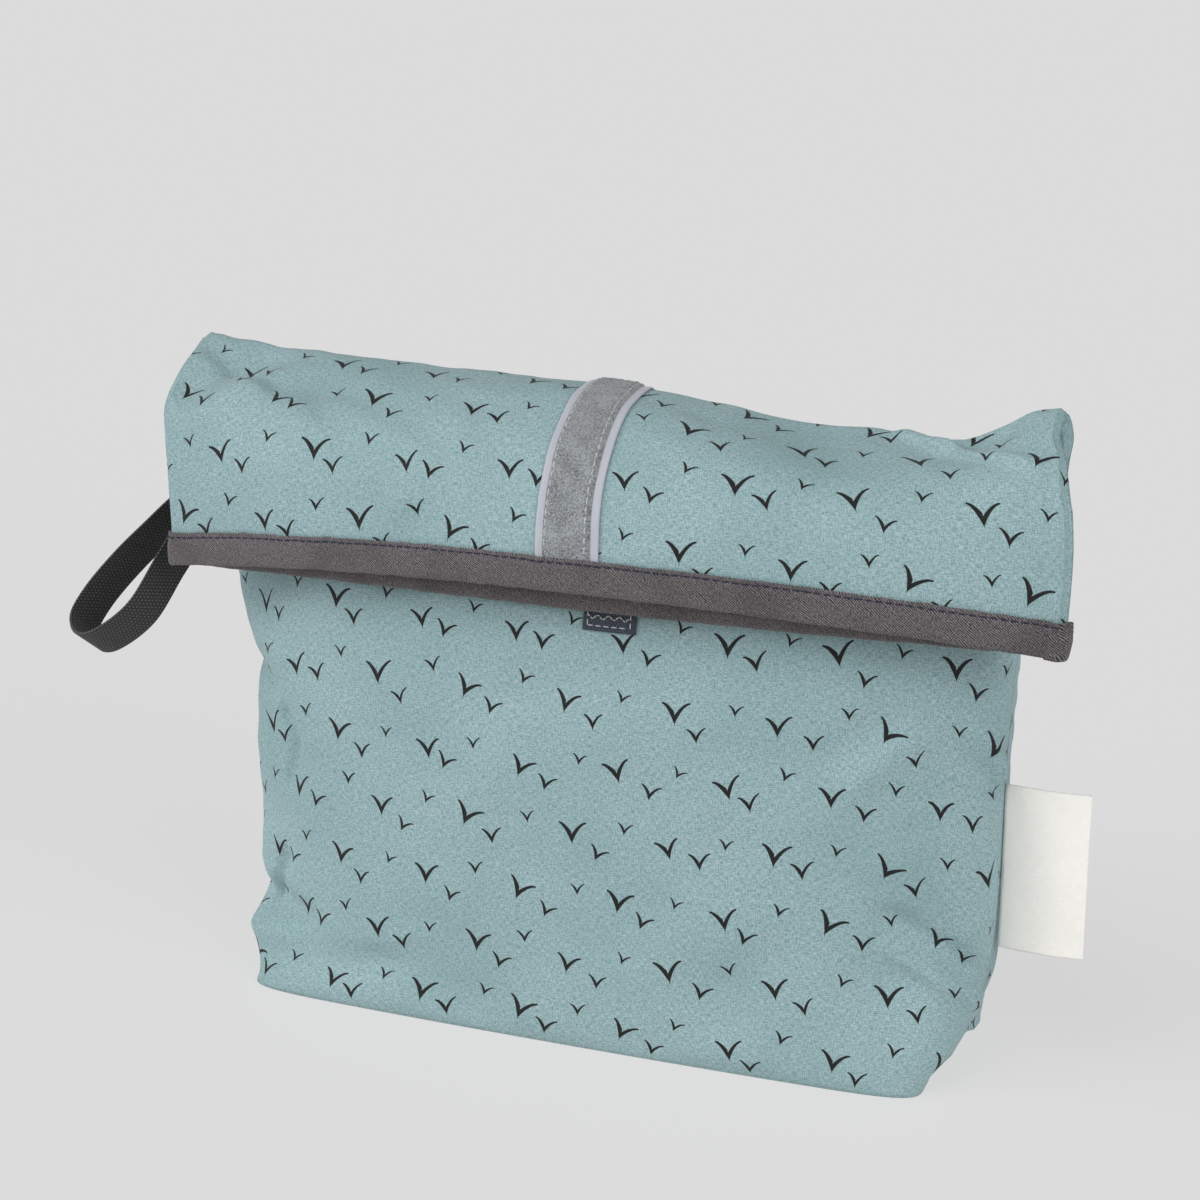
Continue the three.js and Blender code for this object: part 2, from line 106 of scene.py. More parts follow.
# Sections of the fold and flap: out (middle, left, right), down (the same), turn, front, back, take, shift
FLAP = np.array([
    [-0.19, -0.325, -0.31, 0.195, 0.11, 0.13, 16, 1.3, 1.5, 0.006, -0.046],
    [-0.06, -0.29, -0.29, 0.1, 0.035, 0.05, 58, 0.7, 0.76, 0.008, -0.057],
    [0.21, -0.06, -0.08, 0.115, 0.088, 0.115, 108, 0.62, 0.7, 0.006, -0.048],
    [0.5, 0.18, 0.12, 0.19, 0.145, 0.2, 128, 0.7, 0.74, 0, -0.026],
    [0.73, 0.41, 0.28, 0.335, 0.285, 0.335, 150, 0.82, 0.84, 0, -0.012],
    [0.86, 0.465, 0.37, 0.51, 0.54, 0.56, 171, 0.94, 0.94, 0, 0.003],
    [0.893, 0.475, 0.44, 0.655, 0.845, 0.81, 180, 1, 1, 0, 0.006],
    [0.893, 0.475, 0.48, 0.8, 0.995, 0.955, 180, 1, 1, 0, 0.006],
])
FLAP_BELLY = 0.8

# Dents and folds: row, across, long, wide, depth, lean, face
DENTS = [
    (12.7, 0.6, 1.9, 0.36, 0.31, 0.8, "both"),
    (12.9, 0.82, 0.6, 0.13, 0.1, 3, "both"),
    (13.3, -0.72, 0.8, 0.2, 0.13, 3, "both"),
    (15, -0.86, 1.2, 0.1, 0.05, 4, "both"),
    (9.9, 0.66, 0.85, 0.3, 0.12, 0, "front"),
    (6.4, -0.93, 0.8, 0.1, 0.16, 2, "front"),
    (3.1, -0.88, 0.9, 0.13, 0.17, 1, "front"),
    (2.2, -0.55, 0.7, 0.3, 0.05, 0, "front"),
    (3.3, 0.84, 0.8, 0.1, 0.09, -2, "front"),
    (5.2, 0.9, 0.7, 0.08, 0.08, -3, "front"),
    (3.5, 0.9, 1, 0.12, 0.12, 1, "back"),
    (3.3, -0.9, 1, 0.12, 0.12, -1, "back"),
    (5.6, 0.1, 1.6, 0.35, 0.1, 2, "back"),
]

# Creases in the cloth: face, u and v of one end, u and v of the other, half width, height out of the cloth
CREASES = [
    ("back", 98, 222, 118, 234, 3.4, 1.6),
    ("back", 112, 230, 142, 256, 3, 1.8),
    ("back", -103, 236, -139, 276, 6, 1.9),
    ("back", -116, 226, -148, 264, 6.5, -2.4),
    ("back", -70, 278, -50, 288, 5, 0.8),
    ("back", -91, 262, -101, 296, 5, 0.9),
    ("back", -40, 256, -26, 280, 5, 0.7),
    ("back", -112, 262, -84, 284, 6, -0.8),
    ("back", -62, 246, -80, 276, 6, -0.7),
    ("back", 30, 250, 52, 286, 7, 0.6),
    ("back", 84, 246, 70, 290, 7, -0.6),
    ("back", -86, 254, -44, 272, 5, 0.9),
    ("back", -44, 272, -60, 294, 5, 0.9),
    ("back", -146, 232, -104, 252, 5, -1.2),
    ("front", 91, 95, 116, 115, 5, 1),
    ("front", 84, 104, 108, 124, 6, -0.9),
    ("front", 126, 70, 143, 29, 4.5, 1),
    ("front", 118, 74, 133, 34, 5, -1.1),
    ("front", 108, 46, 147, 22, 3.4, 2.2),
    ("front", 106, 58, 145, 34, 4, -2.2),
    ("front", 134, 118, 150, 96, 3.2, 1.4),
    ("front", 128, 110, 150, 90, 3.6, -1.4),
    ("front", -116, 97, -108, 85, 3, -1.5),
    ("front", -108, 86, -114, 70, 3, -1.3),
    ("front", -102, 92, -96, 66, 6, 0.9),
    ("front", -150, 112, -120, 102, 4, -2.4),
    ("front", -134, 122, -112, 112, 5, 1.2),
    ("front", -118, 46, -126, 24, 4, -2),
    ("front", -140, 30, -102, 26, 3.6, -2),
    ("front", -146, 16, -108, 19, 4, 1.7),
    ("front", -128, 8, -60, 20, 6, -1.3),
    ("front", -60, 60, -20, 96, 9, 0.7),
    ("front", 20, 30, 66, 52, 9, 0.6),
    ("front", -40, 110, 10, 128, 8, -0.7),
    ("front", 50, 120, 90, 66, 9, -0.6),
    ("front", -88, 128, -50, 104, 6, 0.7),
]

# How much stronger creases show than their heights above
CREASE_RISE = 1.3

# How far gathers pull the side seams in towards the middle, by height
PULL = {
    -1: ((0, 6, 10, 16, 24, 30, 40, 55, 80, 92, 105, 118, 133, 143, 180, 192, 204, 212),
         (0, -0.8, -1.4, 0, 3.2, 4.2, 3.6, 3, 2.7, 3.8, 5, 3.2, 1.3, 0, 0, 0.8, 2.6, 3.4)),
    1: ((0, 6, 12, 16, 22, 35, 50, 70, 100, 125, 140, 150, 186, 196, 204, 210),
        (4.5, 3.2, 3.2, 3.6, 3.2, 1.4, 0.5, 0, 0, 0.8, 1.4, 0, 0, 1.6, 1.6, 0.5)),
}
PULL_REACH = 46.0

# How far the base's right front corner is tucked in at the floor. The tuck grows from a start over a span,
# along +X and along -Y, and it ends at a height
CORNER_TUCK = 4.4
TUCK_X = (84.0, 30.0)
TUCK_Y = (2.0, 24.0)
TUCK_TOP = 13.0

# A valley along the top of the fold, behind the crest: its two ends from above, half width and depth, the
# length over which each end eases in, and the height from which it grows over a span
VALLEY = ((86.0, 19.0), (125.0, 8.0), 6.5, 5.2)
VALLEY_EASE = 12.0
VALLEY_Z = (178.0, 14.0)

FOLD = len(BODY)
MOUTH = len(BODY) + len(FLAP) - 1
SIGN = {"front": -1.0, "back": 1.0}

# The power of the distance across by which a section's middle line bends towards the side seams
SEAM_EASE = 2.2


def linear(code):
    """The linear colour of a six-digit sRGB code."""
    share = np.array([int(code[i : i + 2], 16) for i in (0, 2, 4)]) / 255
    return tuple(np.where(share <= 0.04045, share / 12.92, ((share + 0.055) / 1.055) ** 2.4))


def monotone(values):
    """A cubic through values at 0, 1, 2 and so on, with harmonic mean slopes, so that it never overshoots."""
    values = np.asarray(values, float)
    step = np.diff(values)
    before, after = np.r_[step[0], step], np.r_[step, step[-1]]
    same = before * after > 0
    slope = np.where(same, 2 * before * after / np.where(same, before + after, 1), 0)

    def curve(s):
        i = np.clip(np.floor(s).astype(int), 0, len(values) - 2)
        t = s - i
        rise = t * t * (3 - 2 * t)
        return values[i] + rise * step[i] + t * (1 - t) * ((1 - t) * slope[i] - t * slope[i + 1])

    return curve


def tracks():
    """One curve along the sections for each of their measures."""
    body, flap = BODY.T, FLAP.T
    made = {}
    for k, name in enumerate(("middle", "left", "right")):
        made["y_" + name] = np.r_[body[1 + k] * HALF_DEPTH, -flap[k] * FLAP_REACH]
        made["z_" + name] = np.r_[body[0] * STAND_HEIGHT, STAND_HEIGHT - flap[3 + k] * FLAP_DROP]
    made["turn"] = np.r_[body[0] * 0, np.radians(flap[6])]
    made["front"] = np.r_[body[4] * HALF_DEPTH, flap[7] * MOUTH_HALF]
    made["back"] = np.r_[body[5] * HALF_DEPTH, flap[8] * MOUTH_HALF]
    made["box"] = np.r_[body[6], flap[6] * 0 + 2]
    made["belly"] = np.r_[body[7], flap[6] * 0 + FLAP_BELLY]
    made["take"] = np.r_[body[8], flap[9]]
    made["shift"] = np.r_[body[9], flap[10]] * HALF_WIDTH
    return {name: monotone(values) for name, values in made.items()}


TRACK = tracks()


def face_points(s, half, face, across):
    """Points of the sections' outer faces, in millimetres.

    A section stands off its own middle line by a superellipse mixed with a parabola, turned with the fold.
    The line itself bends from the middle to each side seam, and dents press the result in by bell curves.
    """
    at = {name: track(s) for name, track in TRACK.items()}
    size = np.abs(across)
    past = np.clip(1 - (1 - size) * half / SEAM_EDGE, 0, 1)
    end = np.sqrt(1 - past**2)
    square = np.clip(1 - size ** at["box"], 0, 1) ** (1 / at["box"])
    bulge = square + (1 - across**2 - square) * at["belly"]
    stand = SIGN[face] * (FIT / 2 + SEAM_EDGE * end + (at[face] - SEAM_EDGE) * bulge)
    slid = np.clip((s - FOLD) / (MOUTH - FOLD), 0, None) ** 3 if face == "front" else 0
    slip = MOUTH_SLIP * slid * (1 - across**2)
    ease = size**SEAM_EASE
    y = at["y_middle"] + (np.where(across < 0, at["y_left"], at["y_right"]) - at["y_middle"]) * ease
    z = at["z_middle"] + (np.where(across < 0, at["z_left"], at["z_right"]) - at["z_middle"]) * ease
    for row, middle, long, wide, depth, lean, side in DENTS:
        dx = across - middle
        bell = np.exp(-((dx / wide) ** 2) - ((s - row - lean * dx) / long) ** 2)
        press = (1 - across**8) * depth * HALF_DEPTH * bell
        if side == face:
            stand = stand - press * SIGN[face]
        if side == "both":
            turn = TRACK["turn"](np.array(float(row)))
            y, z = y - press * np.cos(turn), z - press * np.sin(turn)
    cos, sin = np.cos(at["turn"]), np.sin(at["turn"])
    x = at["shift"] + half * across
    return np.stack(np.broadcast_arrays(x, y + cos * stand - sin * slip, z + sin * stand + cos * slip), -1)


# Places across a section at which its length is summed, closer together near the seams
SPOTS = -np.cos(np.pi * np.linspace(0, 1, 141))
HALVINGS = 26


def lengths(s, half, face):
    """Distances along the sections' outer faces at SPOTS, summed from chord to chord."""
    chord = np.linalg.norm(np.diff(face_points(s, half, face, SPOTS[None]), axis=1), axis=2)
    return np.concatenate([np.zeros((len(s), 1)), np.cumsum(chord, 1)], 1)


def half_widths(s):
    """Half widths at which the cloth round each section has its cut length, found by halving."""
    wanted = FLAT_WIDTH * (1 - TRACK["take"](s))
    low, high = np.full_like(s, HALF_WIDTH / 2), np.full_like(s, HALF_WIDTH)
    for _ in range(HALVINGS):
        half = (low + high) / 2
        around = (lengths(s, half, "front")[:, -1:] + lengths(s, half, "back")[:, -1:]) / 2
        low, high = np.where(around > wanted, low, half), np.where(around > wanted, half, high)
    return (low + high) / 2


def unit(a):
    return a / np.maximum(np.linalg.norm(a, axis=-1, keepdims=True), 1e-12)


def smooth(t):
    t = np.clip(t, 0, 1)
    return t * t * (3 - 2 * t)


def ripple(u, v, seed, short, long, count=48):
    """A sum of sine waves in random directions with wavelengths from short to long, about -1 to 1."""
    rng = np.random.default_rng(seed)
    total = 0
    for _ in range(count):
        turn, phase = rng.uniform(0, 2 * np.pi, 2)
        wave = 2 * np.pi / np.exp(rng.uniform(np.log(short), np.log(long)))
        total = total + np.sin(wave * (u * np.cos(turn) + v * np.sin(turn)) + phase)
    return total / math.sqrt(count)


class Panel:
    """One panel's outer face as a grid: points, outward normals, and u and v of its columns and rows."""

    COLUMNS = 196
    ROW_STEP = 1.55
    EVEN = 0.72
    BASE_STEPS = 9
    SEAM_COLUMNS = (0.5, 1.1, 1.8, 2.4, 2.9, 3.3, 3.6, 3.9, 4.3, 4.8, 5.5)

    def __init__(self, face, wrinkle=1.0):
        self.face = face
        t = np.linspace(-1, 1, self.COLUMNS + 1)
        even = HALF_WIDTH * (self.EVEN * t + (1 - self.EVEN) * np.sin(np.pi / 2 * t))
        near = HALF_WIDTH - np.array(self.SEAM_COLUMNS)
        inner = even[np.abs(even) < near[-1] - 0.6]
        self.u = np.r_[-HALF_WIDTH, -near, inner, near[::-1], HALF_WIDTH]
        share = self.u / FLAT_WIDTH + 0.5
        fine = np.linspace(0, MOUTH, 1801)[:, None]
        middle = face_points(fine, HALF_WIDTH * 0.9 + 0 * fine, face, np.zeros((1, 1)))[:, 0]
        along = np.r_[0, np.cumsum(np.linalg.norm(np.diff(middle, axis=0), axis=1))]
        rows = int(along[-1] / self.ROW_STEP)
        v = np.linspace(0, along[-1], rows + 1)
        s = np.interp(v, along, fine[:, 0])[:, None]
        half = half_widths(s)
        length = lengths(s, half, face)
        across = np.stack([np.interp(share * row[-1], row, SPOTS) for row in length])
        points = face_points(s, half, face, across)
        base = self.base(points[0], half[0, 0])
        centre = len(self.u) // 2
        self.v = np.r_[-np.linalg.norm(base[:, centre] - points[0, centre], axis=1), v]
        self.points = np.concatenate([base, points])
        self.base_rows = len(base)
        self.normals = self.find_normals(self.points)
        lift = self.wrinkles(*np.meshgrid(self.u, self.v)) * wrinkle
        self.points = self.points + self.normals * lift[..., None]
        for side, (heights, pulls) in PULL.items():
            near = 1 - smooth((HALF_WIDTH - side * self.u) / PULL_REACH)
            self.points[..., 0] -= side * near * np.interp(self.points[..., 2], heights, pulls)
        x, y, z = np.moveaxis(self.points, -1, 0)
        tuck = smooth((x - TUCK_X[0]) / TUCK_X[1]) * smooth((-y - TUCK_Y[0]) / TUCK_Y[1])
        x -= CORNER_TUCK * tuck * smooth(1 - z / TUCK_TOP)
        z -= self.valley(x, y) * smooth((z - VALLEY_Z[0]) / VALLEY_Z[1])
        np.maximum(z, 0, out=z)
        self.normals = self.find_normals(self.points)

    def base(self, rim, half):
        """Rows of the flat base, straight lines from the seam under it out to the rim."""
        share = np.linspace(0, 1, self.BASE_STEPS + 1)[:-1, None]
        line = self.u / HALF_WIDTH * half * SEAM_LINE
        x = line + (rim[:, 0] - line) * share
        seam = BASE_SEAM_BACK + SIGN[self.face] * FIT / 2
        y = seam + (rim[:, 1] - seam) * share
        return np.stack([x, y, 0 * x], -1)

    def find_normals(self, points):
        """Outward unit normals: the cross product of the grid's differences across and along."""
        over = np.gradient(points, axis=1)
        along = np.gradient(points, axis=0)
        normals = unit(np.cross(over, along)) * -SIGN[self.face]
        normals[:, 0] = unit(normals[:, 0] * 0.2 + np.array([-1.0, 0, 0]))
        normals[:, -1] = unit(normals[:, -1] * 0.2 + np.array([1.0, 0, 0]))
        return normals

    def valley(self, x, y):
        """How far the fold's top is pressed down behind its crest: a bell across a line, eased at both
        ends."""
        (x0, y0), (x1, y1), wide, deep = VALLEY
        run = math.hypot(x1 - x0, y1 - y0)
        along = ((x - x0) * (x1 - x0) + (y - y0) * (y1 - y0)) / run
        off = ((x - x0) * (y1 - y0) - (y - y0) * (x1 - x0)) / run
        ends = smooth(along / VALLEY_EASE + 0.5) * smooth((run - along) / VALLEY_EASE + 0.5)
        return deep * ends * np.exp(-((off / wide) ** 2))

    def wrinkles(self, u, v):
        """Height of the cloth's small forms: creases, soft ripples and the gathers along the side seams."""
        front = self.face == "front"
        mouth = self.v[-1]
        side = HALF_WIDTH - np.abs(u)
        fade = smooth(side / 14) * smooth((mouth - v) / 16) * smooth(v / 8)
        height = 0.5 * ripple(u, v, 3 if front else 5, 26, 95) * fade
        height += 0.13 * ripple(u, v, 13 if front else 15, 9, 24) * fade
        lines = np.exp(-((ripple(u, v, 23 if front else 25, 45, 130) / 0.13) ** 2))
        height += 0.3 * lines * smooth(ripple(u, v, 33 if front else 35, 50, 140) + 0.4) * fade
        gather = np.exp(-((side - 5) / 6.5) ** 2) * smooth((side - 0.8) / 3) * smooth(v / 10)
        gather *= smooth((mouth - v) / 22) * (0.55 + 0.45 * smooth((170 - v) / 30))
        wave = np.sin(v / 2.1 + 1.4 * np.sin(v / 9.7) + (2 if front else 0) + np.sign(u))
        gather *= 0.6 + 0.4 * np.sin(v / 17 + u)
        height += 0.5 * gather * (0.35 + 0.65 * smooth(0.5 + 0.9 * wave))
        flange = smooth((v - mouth + 118) / 14) * smooth((mouth - v - 6) / 6)
        height -= flange * (0.85 - 0.85 * smooth((side - SEAM_STITCH + 0.7) / 0.9)) * smooth(side / 0.8)
        height += flange * 0.22 * np.sin(v * 1.3 + np.sin(v / 7)) * np.exp(-(((side - 1.9) / 1.1) ** 2))
        for face, u0, v0, u1, v1, wide, tall in CREASES:
            if face != self.face:
                continue
            run = np.hypot(u1 - u0, v1 - v0)
            du, dv = (u1 - u0) / run, (v1 - v0) / run
            along = (u - u0) * du + (v - v0) * dv
            off = (u - u0) * dv - (v - v0) * du
            end = smooth(along / (0.35 * run) + 0.5) * smooth((run - along) / (0.35 * run) + 0.5)
            end = end * smooth(side / 4) * smooth((mouth - v) / 10)
            height += CREASE_RISE * tall * end * np.exp(-((off / wide) ** 2))
        return height

    def place(self, u, v, lift=0.0):
        """Points and normals at any u and v, by mixing the four nearest of the grid. Past the mouth they run
        straight on along the cloth."""
        u, v, lift = np.broadcast_arrays(np.asarray(u, float), v, lift)
        ju = np.clip(np.interp(u, self.u, np.arange(len(self.u))), 0, len(self.u) - 1.001)
        jv = np.clip(np.interp(v, self.v, np.arange(len(self.v))), 0, len(self.v) - 1.001)
        i, j = jv.astype(int), ju.astype(int)
        a, b = (jv - i)[..., None], (ju - j)[..., None]

        def mix(grid):
            low = grid[i, j] * (1 - b) + grid[i, j + 1] * b
            high = grid[i + 1, j] * (1 - b) + grid[i + 1, j + 1] * b
            return low * (1 - a) + high * a

        point, normal = mix(self.points), unit(mix(self.normals))
        past = np.maximum(v - self.v[-1], 0)[..., None]
        end = np.full_like(i, len(self.v) - 1)
        along = unit(self.points[end, j] - self.points[end - 4, j])
        return point + along * past + normal * lift[..., None], normal

    def height_v(self, z, u=0.0):
        """The v at which the standing panel reaches a height, on the column at u."""
        column = self.place(np.full_like(self.v, u), self.v)[0][:, 2]
        rows = slice(self.base_rows, self.base_rows + int(np.argmax(column[self.base_rows :])))
        return float(np.interp(z, column[rows], self.v[rows]))


# Meshes
def new_piece(name, points, faces, materials, slot, stands_for=None, cloth=None, face_material=None):
    """One visible piece at the origin, from points in millimetres. It rides on the part's one body and stands
    for the CAD node that it replaces. slot is not used. cloth is a vector for each point that its material
    reads: u, v and a third number, in millimetres."""
    mesh = bpy.data.meshes.new(name)
    quads = faces if isinstance(faces, list) else faces.tolist()
    mesh.from_pydata((np.asarray(points, float) * MM).tolist(), [], quads)
    for material in materials:
        mesh.materials.append(material)
    if face_material is not None:
        mesh.polygons.foreach_set("material_index", np.asarray(face_material, np.int32))
    mesh.polygons.foreach_set("use_smooth", np.full(len(mesh.polygons), True))
    if cloth is not None:
        spot = mesh.attributes.new("cloth", "FLOAT_VECTOR", "POINT")
        spot.data.foreach_set("vector", np.asarray(cloth, np.float32).ravel())
    mesh.validate()
    mesh.update()
    piece = bpy.data.objects.new(name, mesh)
    bpy.context.scene.collection.objects.link(piece)
    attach(piece, "root")
    if stands_for:
        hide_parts(stands_for)
    return piece


def grid_faces(rows, columns, flip=False, start=0, close_rows=False, close_columns=False):
    """Quads of a grid of points, numbered row by row."""
    i = np.arange(rows if close_rows else rows - 1)[:, None]
    j = np.arange(columns if close_columns else columns - 1)[None]
    a, b = i * columns + j, i * columns + (j + 1) % columns
    c, d = ((i + 1) % rows) * columns + (j + 1) % columns, ((i + 1) % rows) * columns + j
    return np.stack([a, d, c, b] if flip else [a, b, c, d], -1).reshape(-1, 4) + start


def slab(outer, inner, flip=False):
    """Points and faces of a closed sheet: an outer grid, an inner one, and strips round its four edges."""
    rows, columns = outer.shape[:2]
    n = rows * columns
    points = np.concatenate([outer.reshape(-1, 3), inner.reshape(-1, 3)])
    top = grid_faces(rows, columns, flip)
    under = grid_faces(rows, columns, not flip, n)
    order = np.arange(n).reshape(rows, columns)
    ring = np.concatenate([order[0, :-1], order[:-1, -1], order[-1, :0:-1], order[:0:-1, 0]])
    after = np.roll(ring, -1)
    rim = np.stack([ring, ring + n, after + n, after] if not flip else [ring, after, after + n, ring + n], -1)
    return points, np.concatenate([top, under, rim]), len(top), len(under)


def outward(points, faces):
    """Faces of a closed mesh of quads, turned round if its volume by the divergence theorem is negative."""
    a, b, c, d = (points[faces[:, k]] for k in range(4))
    volume = np.einsum("ij,ij->", a, np.cross(b, c)) + np.einsum("ij,ij->", a, np.cross(c, d))
    return faces if volume > 0 else faces[:, ::-1]


def tube_piece(name, rings, spots, *rest):
    """A closed band through rings of points, as a piece. Each ring runs across its top and back across its
    underside, and strips between the two close both ends. spots are the three numbers of its cloth vector."""
    rows, columns = rings.shape[:2]
    points = rings.reshape(-1, 3)
    k = np.arange(columns // 2 - 1)
    end = np.stack([k + 1, k, columns - 1 - k, columns - 2 - k], -1)
    sides = grid_faces(rows, columns, close_columns=True)
    faces = outward(points, np.concatenate([sides, end, end[:, ::-1] + (rows - 1) * columns]))
    spots = np.stack(np.broadcast_arrays(*spots), -1).reshape(-1, 3)
    return new_piece(name, points, faces, *rest, cloth=spots)


def tape_piece(name, cloth, middle, v, over, side, top, *rest):
    """A tape lying on a panel, as a piece. over runs across it from its middle line at each v, side moves its
    face's points across, and top is that face's height off the cloth."""
    ring_over = np.concatenate([over + side, np.broadcast_to(over[::-1], top.shape)], 1)
    ring_lift = np.concatenate([top, np.full_like(top, FIT)], 1)
    rings = cloth.place(middle[:, None] + ring_over, v, ring_lift)[0]
    return tube_piece(name, rings, (ring_over, v, 0 * ring_lift), *rest)


def capsules(starts, ends, ups, radius, sides=6, flat=0.75):
    """Short round-ended threads from starts to ends, all in one list of points and faces. Each is a ring of
    points carried through five stations whose radius swells from nothing and back."""
    along = ends - starts
    length = np.linalg.norm(along, axis=1, keepdims=True)
    along = along / np.maximum(length, 1e-9)
    side = unit(np.cross(along, ups))
    up = np.cross(side, along)
    station = np.array([0, 0.12, 0.5, 0.88, 1])
    swell = np.array([0.25, 0.85, 1, 0.85, 0.25])
    arch = np.array([-0.5, 0.1, 0.45, 0.1, -0.5])
    angle = np.arange(sides) * 2 * np.pi / sides
    ring = radius * swell[:, None, None] * (
        np.cos(angle)[None, :, None] * side[:, None, None]
        + flat * np.sin(angle)[None, :, None] * up[:, None, None]
    )
    centre = starts[:, None] + along[:, None] * length[:, None] * station[None, :, None]
    centre = centre + up[:, None] * (arch * radius)[None, :, None]
    points = (centre[:, :, None] + ring).reshape(-1, 3)
    one = grid_faces(len(station), sides, close_columns=True)
    first_point = np.arange(len(starts)) * len(station) * sides
    faces = (one[None] + first_point[:, None, None]).reshape(-1, 4)
    first = np.arange(sides)[::-1]
    last = np.arange(sides) + (len(station) - 1) * sides
    caps = [cap[None] + first_point[:, None] for cap in (first, last)]
    return points, faces.tolist() + np.concatenate(caps).tolist()


# Materials
def node(tree, kind, inputs=None, **settings):
    """A node with its settings, and its inputs set to values or linked to wires."""
    made = tree.nodes.new(kind)
    for key, value in settings.items():
        setattr(made, key, value)
    for key, value in (inputs or {}).items():
        if isinstance(value, Wire):
            tree.links.new(value.socket, made.inputs[key])
        else:
            made.inputs[key].default_value = value
    return made


class Wire:
    """A node's output, with arithmetic: every operation on it adds a node to its tree."""

    def __init__(self, tree, socket):
        self.tree, self.socket = tree, socket

    def make(self, kind, inputs, output=0, **settings):
        return Wire(self.tree, node(self.tree, kind, inputs, **settings).outputs[output])

    def math(self, operation, *values, clamp=False):
        return self.make("ShaderNodeMath", dict(enumerate(values)), operation=operation, use_clamp=clamp)

    def __add__(self, other):
        return self.math("ADD", self, other)

    def __sub__(self, other):
        return self.math("SUBTRACT", self, other)

    def __rsub__(self, other):
        return self.math("SUBTRACT", other, self)

    def __mul__(self, other):
        return self.math("MULTIPLY", self, other)

    def __truediv__(self, other):
        return self.math("DIVIDE", self, other)

    def __rtruediv__(self, other):
        return self.math("DIVIDE", other, self)

    def __pow__(self, power):
        return self.math("POWER", self, power)

    def __abs__(self):
        return self.math("ABSOLUTE", self)

    __radd__, __rmul__ = __add__, __mul__

    def split(self, kind="XYZ"):
        parts = node(self.tree, "ShaderNodeSeparate" + kind, {0: self}).outputs
        return [Wire(self.tree, part) for part in parts[:3]]

    def ease(self, low, high, to_low=0.0, to_high=1.0):
        """A smooth step of the value from low to high."""
        inputs = {"Value": self, "From Min": low, "From Max": high, "To Min": to_low, "To Max": to_high}
        return self.make("ShaderNodeMapRange", inputs, interpolation_type="SMOOTHSTEP")

    def hump(self):
        """One round rise in every whole step of the value."""
        return 1.0 - abs(self.math("FRACT", self) * 2.0 - 1.0) ** 2.5

    def mix(self, low, high):
        """One colour mixed into another, with this as the factor."""
        low, high = (colour if isinstance(colour, Wire) else opaque(colour) for colour in (low, high))
        return self.make("ShaderNodeMix", {0: self, 6: low, 7: high}, 2, data_type="RGBA")

    def noise(self, scale=1.0, detail=2.0, roughness=0.5):
        inputs = {"Vector": self, "Scale": scale, "Detail": detail, "Roughness": roughness}
        return self.make("ShaderNodeTexNoise", inputs, "Fac")

    def threads(self, x, y, shift=0.0, roughness=0.5):
        """A noise drawn out into threads, because it is scaled differently along u and v."""
        inputs = {"Vector": self, "Scale": (x, y, 1.0), "Location": (shift, shift, 0)}
        return self.make("ShaderNodeMapping", inputs).noise(roughness=roughness)

    def bump(self, strength, distance_mm):
        inputs = {"Height": self, "Strength": strength, "Distance": distance_mm * MM}
        return self.make("ShaderNodeBump", inputs)


def opaque(colour):
    return (*tuple(colour)[:3], 1.0)


def shade_of(colour, share):
    return np.array(colour) * share


def start_material(name, in_object_space=False):
    """An empty material, and a vector: the cloth vector that its piece carries, or object coordinates."""
    material = bpy.data.materials.new(name)
    material.use_nodes = True
    tree = material.node_tree
    tree.nodes.clear()
    if in_object_space:
        return material, Wire(tree, node(tree, "ShaderNodeTexCoord").outputs["Object"])
    return material, Wire(tree, node(tree, "ShaderNodeAttribute", attribute_name="cloth").outputs["Vector"])


def finish_material(colour, roughness, normal=None, sheen=0.0, sheen_roughness=0.5, specular=0.5):
    """The shader at the end of a material's nodes."""
    inputs = {
        "Base Color": colour, "Roughness": roughness, "Sheen Weight": sheen,
        "Sheen Roughness": sheen_roughness, "Specular IOR Level": specular,
    }
    if normal is not None:
        inputs["Normal"] = normal
    shader = node(colour.tree, "ShaderNodeBsdfPrincipled", inputs)
    out = node(colour.tree, "ShaderNodeOutputMaterial")
    colour.tree.links.new(shader.outputs[0], out.inputs[0])
    return shader


